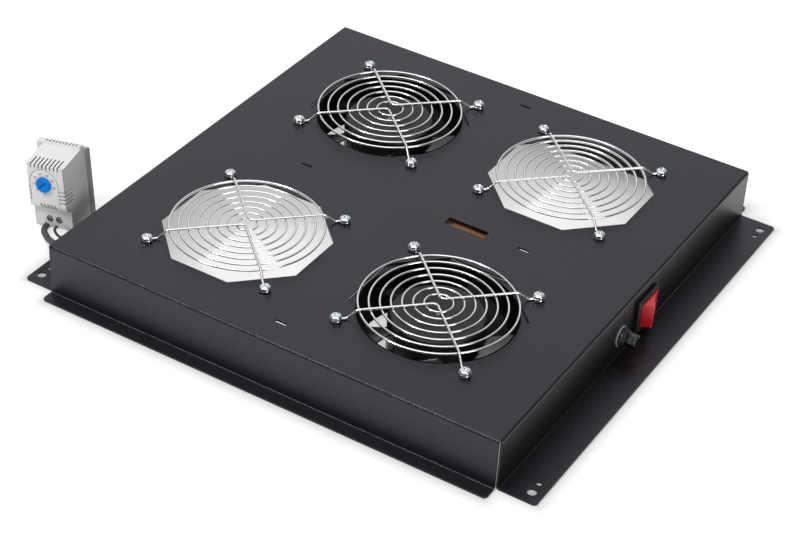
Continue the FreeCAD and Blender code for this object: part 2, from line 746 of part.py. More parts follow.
def fuse_cap():
    """Knurled cap in front of the collar, with a coin slot in its end."""
    face = FUSE_WASHER_T + FUSE_FLANGE_T + FUSE_COLLAR_L
    r = FUSE_CAP_D / 2
    end = face + FUSE_CAP_L
    cap = fuse_turned([(0, face - 0.4 + PRESS_FIT), (2.5, face - 0.4 + PRESS_FIT), (2.5, face + 0.35),
                       (r, face + 0.35), (r, end - 1), (r - 1, end), (0, end)])
    y = FRONT_Y - end
    cap = cap.cut(box(FUSE_X - 4.6, FUSE_X + 4.6, y - 1, y + 1.4, FUSE_Z - 0.8, FUSE_Z + 0.8))
    grips = []
    for k in range(20):
        a = math.radians(18 * k)
        c = V(FUSE_X + (r + 0.25) * math.cos(a), y + 1.6, FUSE_Z + (r + 0.25) * math.sin(a))
        grips.append(rod(0.6, FUSE_CAP_L, c, V(0, 1, 0)))
    return cap.cut(grips)


# Terminal board under the access opening

def terminal_board():
    return box(-BOARD_W / 2, BOARD_W / 2, BOARD_Y - BOARD_L / 2, BOARD_Y + BOARD_L / 2, BOARD_Z, BOARD_Z + BOARD_T)


def board_pads():
    """Two bonded pads that hang the board from the top sheet."""
    z = BOARD_Z + BOARD_T
    half = BOARD_L / 2
    ends = [(BOARD_Y - half, BOARD_Y - half + PAD_L), (BOARD_Y + half - PAD_L, BOARD_Y + half)]
    return Part.makeCompound([box(-BOARD_W / 2, BOARD_W / 2, a, b, z, CEILING) for a, b in ends])


def way_y(k):
    return BOARD_Y + (k - (BLOCK_WAYS - 1) / 2) * BLOCK_PITCH


def terminal_block():
    """Six-way block: a chamfered bar with dividing grooves, screw wells and wire entries."""
    w = BLOCK_W / 2
    low = BOARD_Z - BLOCK_H
    outline = [V(-w, BLOCK_FRONT, BOARD_Z), V(w, BLOCK_FRONT, BOARD_Z), V(w, BLOCK_FRONT, low + 4),
               V(w - 4, BLOCK_FRONT, low), V(4 - w, BLOCK_FRONT, low), V(-w, BLOCK_FRONT, low + 4)]
    block = prism(outline, V(0, BLOCK_L, 0))
    cuts = []
    for k in range(BLOCK_WAYS - 1):
        y = (way_y(k) + way_y(k + 1)) / 2
        cuts.append(box(-w, w, y - 0.6, y + 0.6, low, low + 2.4))
    for k in range(BLOCK_WAYS):
        for x in (-5.5, 5.5):
            cuts.append(rod(BLOCK_SCREW_D / 2 + THREAD_FIT, 7, V(x, way_y(k), low)))
    for p, diameter, axis in entries():
        cuts.append(rod(diameter / 2 + CORD_FIT, 5, p, axis))
    return block.cut(cuts)


def entries():
    """Cord entries of the block: start of each bore, its cord and its way in."""
    w = BLOCK_W / 2
    back = V(0, -1, 0)
    front = V(0, 1, 0)
    return [(V(-4.5, BLOCK_BACK, BLOCK_Z), LEAD_D, back), (V(4.5, BLOCK_BACK, BLOCK_Z), CORE_D, back),
            (V(-8, BLOCK_FRONT, BLOCK_Z), CORE_D, front), (V(0, BLOCK_FRONT, BLOCK_Z), CORE_D, front),
            (V(8, BLOCK_FRONT, BLOCK_Z), CORE_D, front),
            (V(-w, way_y(4), BLOCK_Z), FAN_LEAD_D, V(1, 0, 0)), (V(w, way_y(4), BLOCK_Z), FAN_LEAD_D, V(-1, 0, 0))]


def block_screws():
    low = BOARD_Z - BLOCK_H
    solids = []
    for k in range(BLOCK_WAYS):
        for x in (-5.5, 5.5):
            solids.append(rod(BLOCK_SCREW_D / 2, 5.5, V(x, way_y(k), low + 1.5)))
    return Part.makeCompound(solids)


# Thermostat, drawn with its face toward -Y and its foot on z = 0, then placed

def thermo_placement():
    turn = FreeCAD.Rotation(UP, THERMO_YAW - 90)
    turn = turn.multiply(FreeCAD.Rotation(V(0, 1, 0), -THERMO_ROLL))
    turn = turn.multiply(FreeCAD.Rotation(V(1, 0, 0), -THERMO_LEAN))
    return FreeCAD.Placement(V(THERMO_IN - BOX_W / 2, BACK_Y + THERMO_BEHIND, THERMO_Z), turn)


def placed(shape):
    shape.Placement = thermo_placement().multiply(shape.Placement)
    return shape


def thermo_profile(inset, back):
    """Side outline of the cover, drawn in by the wall; inside, the shoulder is a plain chamfer."""
    t = inset
    low = TH_SHOULDER + t
    inner = [V(0, TH_SHOULDER_R, low), V(0, t, TH_FACE_LOW)]
    shoulder = inner if t > 0 else [V(0, 0, low)]
    foot = [V(0, TH_RECESS + t, t), V(0, TH_RECESS + t, low)]
    top = [V(0, t, TH_FACE_TOP - t), V(0, TH_RIM_Y, TH_SLOPE_TOP - t), V(0, back, TH_SLOPE_TOP - t), V(0, back, t)]
    return foot + shoulder + top


def vent(x, y, z, dx, dy, dz, width, depth, normal):
    """Cutter of one narrow vent: a flat bar lying in the wall along (dx, dy, dz)."""
    along = V(dx, dy, dz)
    across = along.cross(normal).normalize() * (width / 2)
    sink = normal * depth
    a = V(x, y, z) + normal * 0.6
    outline = [a - across, a + across, a + along + across, a + along - across]
    return prism(outline, sink * -1 - normal * 0.6)


def thermo_cover():
    """Moulded cover: sloping vented top, recessed terminal face, rear rim with one ear."""
    half = TH_W / 2
    outer = prism([p - V(half, 0, 0) for p in thermo_profile(0.0, TH_DEPTH)], V(TH_W, 0, 0))
    outer = round_edges(outer, TH_SHOULDER_R, lambda p, q: near(p.Y, 0) and near(q.Y, 0)
                        and near(p.Z, TH_SHOULDER) and near(q.Z, TH_SHOULDER))
    plan = box(-half, half, 0, TH_DEPTH, 0, TH_SLOPE_TOP)
    plan = round_edges(plan, TH_CORNER_R, lambda p, q: near(p.X, q.X) and near(p.Y, 0) and near(q.Y, 0))
    outer = outer.common(plan)
    rim = box(-half - TH_EAR, half, TH_RIM_Y, TH_DEPTH, 0, TH_H)
    rim = round_edges(rim, 1.5, lambda p, q: near(p.X, q.X) and near(p.Z, q.Z) and near(p.Z, TH_H))
    cover = outer.fuse(rim)
    inside = half - TH_WALL
    cavity = prism([p - V(inside, 0, 0) for p in thermo_profile(TH_WALL, TH_DEPTH + 1)], V(2 * inside, 0, 0))
    cover = cover.cut(cavity)
    cuts = []
    slope = V(0, TH_RIM_Y, TH_SLOPE_TOP - TH_FACE_TOP).normalize()
    slope_normal = V(0, -slope.z, slope.y)
    front = V(0, -1, 0)
    for k in range(8):
        x = -12.1 + 3.37 * k
        cuts.append(vent(x, 0, TH_FACE_TOP, 0, slope.y * 10, slope.z * 10, 1.2, TH_WALL + 1, slope_normal))
        cuts.append(vent(x, 0, TH_FACE_TOP - 2.8, 0, 0, 3.4, 1.2, TH_WALL + 1, front))
    for k in range(10):
        x = -14.2 + 2.9 * k
        cuts.append(vent(x, TH_RIM_Y + 1.2, TH_H, 0, 3.2, 0, 1.0, 3.6, UP))
    cuts += arch_grooves() + grip_grooves()
    for k in range(5):
        x = -6.6 + 3.0 * k
        cuts.append(vent(x, 0, TH_FACE_LOW + 0.2, 1.6, 0, -4.4, 1.2, TH_RECESS + TH_WALL + 1, front))
    for x in (TERM_X1, TERM_X2):
        cuts.append(rod(TERM_R + 0.35, TH_WALL + 2, V(x, TH_RECESS - 1, TERM_Z), V(0, 1, 0)))
    cuts.append(rod(DIAL_SHAFT_R + DIAL_FIT, TH_WALL + 2, V(DIAL_X, -1, DIAL_Z), V(0, 1, 0)))
    cuts.append(rod(LEAD_D / 2 + CORD_FIT, 12, V(lead_x(), TH_RECESS - 1, lead_z()), V(0, 1, 0)))
    cuts.append(rod(CORE_D / 2 + CORD_FIT, 12, V(wire_x(), TH_RECESS - 1, wire_z()), V(0, 1, 0)))
    return placed(cover.cut(cuts))


def arch_grooves():
    """Cutters of the fine line that runs up one side of the dial, over it and down the other side."""
    deep = ARCH_CUT
    r_out = ARCH_R + ARCH_CUT / 2
    r_in = ARCH_R - ARCH_CUT / 2
    arch = ring(r_out, r_in, deep, V(DIAL_X, 0, DIAL_Z), V(0, 1, 0))
    arch = arch.cut(box(DIAL_X - r_out, DIAL_X + r_out, 0, deep, DIAL_Z - r_out, DIAL_Z))
    sides = [box(DIAL_X + s * ARCH_R - deep / 2, DIAL_X + s * ARCH_R + deep / 2, 0, deep, TH_FACE_LOW + 0.6, DIAL_Z)
             for s in (-1, 1)]
    return [arch] + sides


def grip_grooves():
    """Cutters of the short grooves between that line and the edges; on the right they run on down the side."""
    half = TH_W / 2
    cuts = []
    for k in range(GRIPS):
        low = GRIP_LOW + GRIP_PITCH * k
        cuts.append(box(-half, DIAL_X - ARCH_R, 0, GRIP_CUT, low, low + GRIP_W))
        cuts.append(box(-half, GRIP_CUT - half, 0, GRIP_BACK, low, low + GRIP_W))
        cuts.append(box(DIAL_X + ARCH_R, half, 0, GRIP_CUT, low, low + GRIP_W))
        cuts.append(box(half - GRIP_CUT, half, 0, GRIP_BACK, low, low + GRIP_W))
    return cuts


def lead_x():
    return TERM_X1 - 3.6


def lead_z():
    return 0.6


def wire_x():
    return TERM_X2 - 3.4


def wire_z():
    return 0.9


def thermo_base():
    """Dark rear part that closes the cover."""
    half = TH_W / 2
    y0 = TH_DEPTH
    y1 = TH_DEPTH + TH_BASE_T
    base = box(-half, half, y0, y1, 0, TH_BASE_H)
    base = round_edges(base, 2.5, lambda p, q: near(p.Y, y1) and near(q.Y, y1) and not near(p.X, q.X))
    return placed(base)


def thermo_contacts():
    """Contact block behind the terminal face."""
    y = TH_RECESS + TH_WALL
    block = box(-12, 12, y, y + 15, TH_WALL, 20.0)
    for x in (TERM_X1, TERM_X2):
        block = block.cut(rod(1.5 + THREAD_FIT, 9, V(x, y, TERM_Z), V(0, 1, 0)))
    block = block.cut(rod(LEAD_D / 2 + CORD_FIT, 6, V(lead_x(), y, lead_z()), V(0, 1, 0)))
    return placed(block.cut(rod(CORE_D / 2 + CORD_FIT, 6, V(wire_x(), y, wire_z()), V(0, 1, 0))))


def thermo_strip():
    """Bimetal strip standing on the contact block behind the dial."""
    y = TH_RECESS + TH_WALL + 8
    strip = box(-6, 6, y, y + 0.8, 20.0, 50.0)
    return placed(strip)


def thermo_dial():
    """Turned dial with its spindle and a screwdriver slot."""
    y = -DIAL_GAP
    dial = turned([(0, 0), (DIAL_R, 0), (DIAL_R, DIAL_T - 0.4), (DIAL_R - 0.4, DIAL_T), (0, DIAL_T)],
                  V(DIAL_X, y, DIAL_Z), V(0, -1, 0))
    dial = dial.fuse(rod(DIAL_SHAFT_R, 9 + DIAL_GAP, V(DIAL_X, y, DIAL_Z), V(0, 1, 0)))
    slot_cut = box(-0.6, 0.6, -1, 1, -4.4, 4.4)
    slot_cut.rotate(V(0, 0, 0), V(0, 1, 0), 50)
    slot_cut.translate(V(DIAL_X, y - DIAL_T, DIAL_Z))
    return placed(dial.cut(slot_cut))


def thermo_screws():
    y = TH_RECESS + TH_WALL
    solids = []
    for x in (TERM_X1, TERM_X2):
        screw = turned([(0, -9), (1.5, -9), (1.5, 0), (TERM_R, 0), (TERM_R, 1.1), (0, 1.3)],
                       V(x, y, TERM_Z), V(0, -1, 0))
        solids.append(placed(screw))
    return Part.makeCompound(solids)


# Cords and what holds them in the walls

def lead_grommet():
    """Rubber grommet with a lip on each side of the back wall, bored for the lead and the core."""
    lip = 1.4
    r = GROMMET_D / 2
    hole_r = GROMMET_HOLE_D / 2
    start = V(LEAD_HOLE_X, BACK_Y - SHEET, LEAD_HOLE_Z)
    inward = V(0, 1, 0)
    body = turned([(0, -lip), (r, -lip), (r, 0), (hole_r, 0), (hole_r, SHEET), (r, SHEET), (r, SHEET + lip),
                   (0, SHEET + lip)], start, inward)
    length = SHEET + 2 * lip
    lead = rod(LEAD_D / 2 + CORD_FIT, length, start + V(0, -lip, -LEAD_DROP), inward)
    core = rod(CORE_D / 2 + CORD_FIT, length, start + V(0, -lip, CORE_RISE), inward)
    return body.cut([lead, core])


def mains_bushing():
    """Strain relief bushing of the supply lead, moulded in one piece."""
    inside = BACK_Y - SHEET
    r = GLAND_HOLE_D / 2 - PRESS_FIT
    return turned([(3.6, -11), (r - 1.2, -11), (r, -4), (r + 0.9, 0), (r, 0), (r, SHEET), (r + 2.6, SHEET),
                   (r + 2.6, SHEET + 2.2), (r + 1.2, SHEET + 4.2), (3.6, SHEET + 4.2)],
                  V(GLAND_X, inside, GLAND_Z), V(0, 1, 0))


def local(x, y, z):
    """Point on the thermostat in the tray's frame."""
    return thermo_placement().multVec(V(x, y, z))


def thermostat_lead():
    y = TH_RECESS + TH_WALL
    x = LEAD_HOLE_X
    z = LEAD_HOLE_Z - LEAD_DROP
    top = CEILING - LEAD_D / 2 - 0.6
    points = [local(lead_x(), y + 5.5, lead_z()), local(lead_x(), -1.0, lead_z()),
              V(x + 5.5, BACK_Y + 36, 5), V(x + 1, BACK_Y + 20, 11), V(x, BACK_Y + 9, z),
              V(x, BACK_Y - 11, z), V(x + 7, BACK_Y - 26, z + 9), V(x + 30, BACK_Y - 31, z + 17),
              V(x * 0.53, BACK_Y - 30, top), V(-25, BACK_Y - 31, top), V(-9, BACK_Y - 62, top),
              V(-8, BACK_Y - 125, top - 1), V(-4.5, BLOCK_BACK + 37, top - 6),
              V(-4.5, BLOCK_BACK + 14, BLOCK_Z), V(-4.5, BLOCK_BACK - 4.5, BLOCK_Z)]
    return cord("thermostat_lead", points, LEAD_D)


def thermostat_wire():
    """Single core from the second terminal, back over the lead to the same grommet."""
    y = TH_RECESS + TH_WALL
    x = LEAD_HOLE_X
    z = LEAD_HOLE_Z + CORE_RISE
    points = [local(wire_x(), y + 5.5, wire_z()), local(wire_x(), 1.5, wire_z()),
              V(x + 11.5, BACK_Y + 32.5, 8), V(x + 5, BACK_Y + 20, 15), V(x, BACK_Y + 8, z), V(x, BACK_Y - 8, z)]
    return cord("thermostat_wire", points, CORE_D)


def fan_leads(front_left, rear_right):
    """Two-core leads from the plugs of the two fans to the sides of the block."""
    out = FAN_SIZE / 2 + PLUG_OUT / 2
    w = BLOCK_W / 2
    y = way_y(4)
    x = front_left.x + out
    start_y = front_left.y + PLUG_L / 2 - 5
    front = [V(x, start_y, PLUG_Z), V(x, start_y + 18, PLUG_Z), V(x + 2, y - 10.5, PLUG_Z + 8.5),
             V(-w - 10.5, y, BLOCK_Z), V(-w + 4, y, BLOCK_Z)]
    x = rear_right.x - out
    start_y = rear_right.y - PLUG_L / 2 + 5
    rear = [V(x, start_y, PLUG_Z), V(x, start_y - 22, PLUG_Z), V(x + 1.5, start_y - 60, PLUG_Z + 13),
            V(x - 1, y + 26, BLOCK_Z + 3), V(x - 4.5, y + 11.6, BLOCK_Z + 1.4), V(w + 10, y, BLOCK_Z),
            V(w - 4, y, BLOCK_Z)]
    return front, rear


def switch_wires():
    """Two cores from the switch and one from the fuse holder to the block."""
    tab_y = FRONT_Y + SWITCH_BODY_L + BLADE_TAB_L
    end = BLOCK_FRONT + 4.5
    first = [V(SWITCH_X, tab_y + 0.1, SWITCH_Z + 6), V(SWITCH_X, tab_y + 12, SWITCH_Z + 6),
             V(12, tab_y + 32, 30), V(9, BLOCK_FRONT - 22, 30), V(8, BLOCK_FRONT - 10, BLOCK_Z), V(8, end, BLOCK_Z)]
    second = [V(SWITCH_X - 9, tab_y + 0.1, SWITCH_Z + 6), V(SWITCH_X - 9, tab_y + 12, SWITCH_Z + 6),
              V(3, tab_y + 32, 31), V(0, BLOCK_FRONT - 24, 31), V(0, BLOCK_FRONT - 10, BLOCK_Z), V(0, end, BLOCK_Z)]
    fuse_y = FRONT_Y + FUSE_BARREL_L + 8
    third = [V(FUSE_X, fuse_y - 1, FUSE_Z + 1.6), V(FUSE_X, fuse_y + 12, FUSE_Z + 1.6), V(-18, fuse_y + 28, 23),
             V(-12, BLOCK_FRONT - 22, 27), V(-8, BLOCK_FRONT - 9, BLOCK_Z), V(-8, end, BLOCK_Z)]
    return first, second, third


def fuse_link_wire():
    """Short core from the fuse holder's side tag to the switch."""
    x = FUSE_X + FUSE_BARREL_D / 2 + 1.0 + CORE_D / 2 + 0.05
    tab_y = FRONT_Y + SWITCH_BODY_L + BLADE_TAB_L
    tab_x = SWITCH_X - 9 - BLADE_TAB_T / 2 - 0.15
    points = [V(x, FRONT_Y + 12, FUSE_Z), V(x, tab_y - 2, FUSE_Z), V(tab_x, tab_y - 2, SWITCH_Z - 6)]
    return cord("fuse_switch_wire", points, CORE_D)


def export(name, shape):
    shape.exportStep("parts/" + name + ".step")


def main():
    os.makedirs("parts", exist_ok=True)
    vacant, fitted = bay_centres()
    export("tray_shell", tray_shell())
    export("finger_guard_rear_left", finger_guard(vacant[0], OPEN_BAY_RINGS, OPEN_BAY_INNER_R))
    export("finger_guard_front_right", finger_guard(vacant[1], OPEN_BAY_RINGS, OPEN_BAY_INNER_R))
    export("finger_guard_front_left", finger_guard(fitted[0], FAN_BAY_RINGS, FAN_BAY_INNER_R))
    export("finger_guard_rear_right", finger_guard(fitted[1], FAN_BAY_RINGS, FAN_BAY_INNER_R))
    export("guard_screws_open_bays", guard_screws(vacant, LOOP_TOP, 10.0))
    export("guard_screws_fan_bays", guard_screws(fitted, LOOP_TOP + WASHER_T, 13.5))
    export("guard_washers", guard_washers(fitted))
    export("guard_nuts_open_bays", guard_nuts(vacant, CEILING))
    export("guard_nuts_fan_bays", guard_nuts(fitted, CEILING - FAN_FLANGE_T))
    for name, centre, side, turn in (("front_left", fitted[0], 1, 0), ("rear_right", fitted[1], -1, 3)):
        export("fan_frame_" + name, fan_frame(centre))
        export("fan_core_" + name, fan_core(centre))
        export("fan_coils_" + name, fan_coils(centre))
        export("fan_bearings_" + name, fan_bearings(centre))
        export("fan_rotor_" + name, fan_rotor(centre, turn))
        export("fan_shaft_" + name, fan_shaft(centre))
        export("fan_plug_" + name, fan_plug(centre, side))
    front, rear = fan_leads(fitted[0], fitted[1])
    export("fan_lead_front_left", cord("fan_lead_front_left", front, FAN_LEAD_D))
    export("fan_lead_rear_right", cord("fan_lead_rear_right", rear, FAN_LEAD_D))
    export("switch_body", switch_body())
    export("switch_rocker", switch_rocker())
    export("switch_terminals", switch_terminals())
    export("fuse_body", fuse_body())
    export("fuse_washer", fuse_washer())
    export("fuse_nut", fuse_nut())
    export("fuse_contacts", fuse_contacts())
    export("fuse_carrier", fuse_carrier())
    export("fuse_link", fuse_link())
    export("fuse_cap", fuse_cap())
    export("terminal_board", terminal_board())
    export("board_pads", board_pads())
    export("terminal_block", terminal_block())
    export("block_screws", block_screws())
    export("thermo_cover", thermo_cover())
    export("thermo_base", thermo_base())
    export("thermo_contacts", thermo_contacts())
    export("thermo_strip", thermo_strip())
    export("thermo_dial", thermo_dial())
    export("thermo_screws", thermo_screws())
    export("lead_grommet", lead_grommet())
    export("mains_bushing", mains_bushing())
    export("thermostat_lead", thermostat_lead())
    export("thermostat_wire", thermostat_wire())
    first, second, third = switch_wires()
    export("switch_wire_a", cord("switch_wire_a", first, CORE_D))
    export("switch_wire_b", cord("switch_wire_b", second, CORE_D))
    export("fuse_wire", cord("fuse_wire", third, CORE_D))
    export("fuse_switch_wire", fuse_link_wire())


main()
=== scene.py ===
import json
import math

import bmesh
import bpy
import numpy as np
from bpy.props import FloatProperty, FloatVectorProperty, PointerProperty
from mathutils import Matrix, Vector


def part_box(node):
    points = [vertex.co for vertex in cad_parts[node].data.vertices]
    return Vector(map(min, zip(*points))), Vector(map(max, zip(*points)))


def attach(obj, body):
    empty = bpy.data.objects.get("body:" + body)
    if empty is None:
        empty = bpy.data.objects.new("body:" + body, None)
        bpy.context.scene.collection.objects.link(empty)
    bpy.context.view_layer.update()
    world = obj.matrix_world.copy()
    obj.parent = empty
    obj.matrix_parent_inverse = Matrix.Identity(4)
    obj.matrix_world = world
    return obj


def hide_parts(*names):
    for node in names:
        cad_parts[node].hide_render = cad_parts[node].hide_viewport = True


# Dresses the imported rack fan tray: round guard wires, cross-recess screws, fans, switch,
# fuse holder, thermostat and cords. Shapes are worked out in millimetres.

bl_info = {
    "name": "Rack fan tray",
    "version": (1, 0, 0),
    "blender": (4, 5, 0),
    "location": "View3D > Sidebar > Rack tray",
    "description": "Builds the detailed pieces, finishes, lights and camera of a rack fan tray",
    "category": "Add Mesh",
}

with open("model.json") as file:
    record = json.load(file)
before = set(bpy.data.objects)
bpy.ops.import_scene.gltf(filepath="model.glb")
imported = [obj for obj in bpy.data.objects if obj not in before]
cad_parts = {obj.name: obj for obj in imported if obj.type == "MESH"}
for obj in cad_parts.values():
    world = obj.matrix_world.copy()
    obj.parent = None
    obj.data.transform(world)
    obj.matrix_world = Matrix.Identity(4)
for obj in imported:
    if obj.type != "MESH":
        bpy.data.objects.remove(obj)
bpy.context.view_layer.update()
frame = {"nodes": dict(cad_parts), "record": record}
MM = 0.001
PI = math.pi


def node_box(node):
    """Lowest and highest corner of a frame node, in millimetres."""
    low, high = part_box(node)
    return np.array(low) / MM, np.array(high) / MM


def middle_of(node):
    """Middle of a frame node's box, in millimetres."""
    low, high = node_box(node)
    return (low + high) / 2


# Places read from the frame
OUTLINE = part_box("tray_shell")
PLATE_TOP = node_box("tray_shell")[1][2]
BAYS = {name: middle_of("finger_guard_" + name)[:2]
        for name in ("rear_left", "front_right", "front_left", "rear_right")}
VACANT = ("rear_left", "front_right")
FITTED = ("front_left", "rear_right")

# Guard: number of rings with the radius of the inner one, the bends of a spoke measured from its
# screw along the plate, the height of its foot, its overlap with the rings, and its eyelets
SCREW_PITCH = 104.8
GUARD_R = 57.5
GUARD_LIFT = 6.0
RINGS = {bay: (8, 7.8) for bay in VACANT} | {bay: (7, 10.4) for bay in FITTED}
SPOKE_RISE_START = 7.5
SPOKE_RISE_END = 15.5
SPOKE_BEND_X = 2.8
SPOKE_BEND_R = 4.0
SPOKE_FOOT = 1.13
WELD = 0.15
LOOP_R = 3.23
LOOP_WIRE_R = 1.12

# Screws and washers: sizes as in the part, the washer's play on the screw and its broken edge
SCREW_SHANK_R = 1.95
SCREW_LENGTHS = {"guard_screws_open_bays": 10.0, "guard_screws_fan_bays": 13.5}
WASHER_R = 4.5
WASHER_T = 0.8
WASHER_GAP = 0.1
WASHER_EDGE = 0.1

# Fan: where the blades, with their painted sheen, start outside the hub, and where the mouth of the
# frame, with its painted shade, ends
HUB_R = 36.5
MOUTH_R = 58.5

# Fuse cap: how far its stem reaches into the wall, the stem's radius, depth and number of the ribs,
# and depth and half width of the coin slot
CAP_INSET = 0.38
CAP_STEM_R = 2.5
CAP_KNURL = 0.34
CAP_RIBS = 30
CAP_SLOT_DEPTH = 1.4
CAP_SLOT_HALF = 0.8

# Footprint of the floor's painted shadow: how far the two rectangles of walls and flanges lie inside
# the outline, in metres
FOOTPRINT_CUTS = (((0.0, 0.0), (0.0325, 0.028)), ((0.0145, 0.0145), (0.0, 0.0)))

# Camera of the photograph, in millimetres and degrees
CAMERA_EYE = (-1160.0, -651.5, 957.5)
CAMERA_AZIMUTH = -60.34
CAMERA_ELEVATION = 36.12
CAMERA_ROLL = 3.58
CAMERA_LENS = 96.1

# Light: where the world is brightest, its colour, its dimmest and added strength, how sharply it
# falls off, and the lamps as (name, place in metres, size in metres, power in watts)
BRIGHT_SIDE = (0.6, 0.47, 0.645)
SKY_COLOUR = (0.97, 0.96, 1.0)
DIM_LIGHT = 0.05
BRIGHT_LIGHT = 1.0
BRIGHT_FALL = 6.0
LAMPS = (("key", (-1.8, 0.0, 6.8), 7.0, 270.0), ("fill", (-2.1, -5.7, 2.7), 2.4, 120.0),
         ("edge", (-3.2, 2.6, 5.2), 1.2, 150.0))

# Half the side of the floor
FLOOR_HALF = 6000.0

# Thermostat: its foot, its turn in degrees about z, y and x, its half width, and where its face,
# slope and rim are, from front to back and from foot to top
THERMO_FOOT = (-142.2, 235.9, 4.55)
THERMO_TURN = (-81.9, -6.1, -4.0)
THERMO_HALF = 16.5
FACE_RECESS = 5.4
SHOULDER = 17.4
SHOULDER_R = 5.2
FACE_TOP = 55.5
RIM_Y = 25.7
SLOPE_TOP = 60.3
RIM_TOP = 61.8
RIM_BACK = 31.3

# Dial scale: its middle and radius, its marks with their angles, and the height and half thickness
# of a mark
DIAL_SPOT = (-1.8, 39.7)
SCALE_R = 8.7
SCALE = (("0", 221), ("10", 184), ("20", 147), ("30", 109.5), ("40", 66), ("50", 28), ("60", -10),
         ("C", -88))
MARK_SIZE = 2.5
MARK_RAISE = 0.04

# Terminal screws: places, seat, and length, shank radius, head radius and head height
TERMINALS = ((-3.5, 7.4), (4.6, 7.4))
TERMINAL_SEAT = 7.0
TERMINAL_SCREW = (9.0, 1.5, 2.5, 1.3)

# Cords of the thermostat, with listed points: those on the thermostat in its own frame
LEAD_R = 2.5
CORE_R = 1.1
LEAD_STARTS = ((-7.1, 12.5, 0.6), (-7.1, -1.0, 0.6))
LEAD_POINTS = ((-154.5, 227.5, 5), (-159, 211.5, 11), (-160, 200.5, 16.7), (-160, 180.5, 16.7),
               (-153, 165.5, 25.7), (-130, 160.5, 33.7), (-84.8, 161.5, 38.4), (-25, 160.5, 38.4),
               (-9, 129.5, 38.4), (-8, 66.5, 37.4), (-4.5, 22, 32.4), (-4.5, -1, 28.4),
               (-4.5, -19.5, 28.4))
CORE_STARTS = ((1.2, 12.5, 0.9), (1.2, 1.5, 0.9))
CORE_POINTS = ((-148.5, 224, 8), (-155, 211.5, 15), (-160, 199.5, 20.8), (-160, 183.5, 20.8))


# Shader trees

class Value:
    """A number or vector socket that Python expressions can use."""

    def __init__(self, shader, socket):
        self.shader = shader
        self.socket = socket

    def maths(self, operation, *others):
        return self.shader.maths(operation, self, *others)

    def __add__(self, other):
        return self.maths("ADD", other)

    __radd__ = __add__

    def __sub__(self, other):
        return self.maths("SUBTRACT", other)

    def __rsub__(self, other):
        return self.shader.maths("SUBTRACT", other, self)

    def __mul__(self, other):
        return self.maths("MULTIPLY", other)

    __rmul__ = __mul__

    def __truediv__(self, other):
        return self.maths("DIVIDE", other)

    def __pow__(self, other):
        return self.maths("POWER", other)

    def __rpow__(self, other):
        return self.shader.maths("POWER", other, self)

    def __gt__(self, other):
        return self.maths("GREATER_THAN", other)


class Shader:
    """One node tree, of a material or of the world, with one method that makes any node."""

    def __init__(self, name, world=False):
        self.block = bpy.data.worlds.new(name) if world else bpy.data.materials.new(name)
        self.block.use_nodes = True
        self.tree = self.block.node_tree
        self.tree.nodes.clear()

    def node(self, kind, settings=None, inputs=None, output=0):
        """Makes a node of a type: its settings first, then the values or links of its sockets."""
        made = self.tree.nodes.new(kind)
        for key, value in (settings or {}).items():
            setattr(made, key, value)
        for key, value in (inputs or {}).items():
            if isinstance(value, Value):
                self.tree.links.new(value.socket, made.inputs[key])
            else:
                made.inputs[key].default_value = value
        return Value(self, made.outputs[output])

    def maths(self, operation, *terms):
        """A Math node on values and numbers, in their order."""
        return self.node("ShaderNodeMath", {"operation": operation}, dict(enumerate(terms)))

    def place(self, scale=(1, 1, 1)):
        """Object coordinates, scaled."""
        coords = self.node("ShaderNodeTexCoord", output=3)
        return self.node("ShaderNodeMapping", {}, {"Vector": coords, "Scale": scale})

    def noise(self, scale, detail=2.0, stretch=(1, 1, 1)):
        """Noise on the object's own coordinates."""
        inputs = {"Vector": self.place(stretch), "Scale": scale, "Detail": detail}
        return self.node("ShaderNodeTexNoise", {}, inputs)

    def mix(self, factor, first, second):
        """Colour between two others."""
        made = self.tree.nodes.new("ShaderNodeMix")
        made.data_type = "RGBA"
        self.tree.links.new(factor.socket, made.inputs[0])
        for socket, value in ((made.inputs[6], first), (made.inputs[7], second)):
            if isinstance(value, Value):
                self.tree.links.new(value.socket, socket)
            else:
                socket.default_value = (*value, 1.0)
        return Value(self, made.outputs[2])

    def bump(self, height, strength, distance):
        """Fine relief for the Normal socket."""
        inputs = {"Height": height, "Strength": strength, "Distance": distance}
        return self.node("ShaderNodeBump", {}, inputs)

    def finish(self, **sockets):
        """Ends the tree in one Principled surface; names use _ for a space."""
        inputs = {}
        for key, value in sockets.items():
            colour = isinstance(value, tuple) and key != "Subsurface_Radius"
            inputs[key.replace("_", " ")] = (*value, 1.0) if colour else value
        surface = self.node("ShaderNodeBsdfPrincipled", {}, inputs)
        return self.end("ShaderNodeOutputMaterial", surface)

    def end(self, kind, surface):
        """Links the last node to the output and gives back the material or world."""
        out = self.tree.nodes.new(kind)
        self.tree.links.new(surface.socket, out.inputs["Surface"])
        return self.block


def powder_coat(name, colour, roughness=0.5):
    """Textured powder coat: fine grain in the bump, slow drift in colour and gloss."""
    s = Shader(name)
    grain = s.noise(900.0, 3.0)
    drift = s.noise(9.0, 2.0)
    base = s.mix(drift, tuple(0.88 * c for c in colour), tuple(1.12 * c for c in colour))
    return s.finish(Base_Color=base, Roughness=roughness + 0.1 * drift,
                    Specular_Tint=(0.91, 0.88, 1.0), Normal=s.bump(grain, 0.7, 0.0004))


def bright_wire(name, tint=(0.93, 0.925, 0.93)):
    """Bright zinc wire with slight clouding."""
    s = Shader(name)
    cloud = s.noise(60.0, 3.0)
    base = s.mix(cloud, tint, tuple(0.82 * c for c in tint))
    return s.finish(Base_Color=base, Metallic=1.0, Roughness=0.12 + 0.1 * cloud,
                    Normal=s.bump(s.noise(700.0), 0.05, 0.0002))


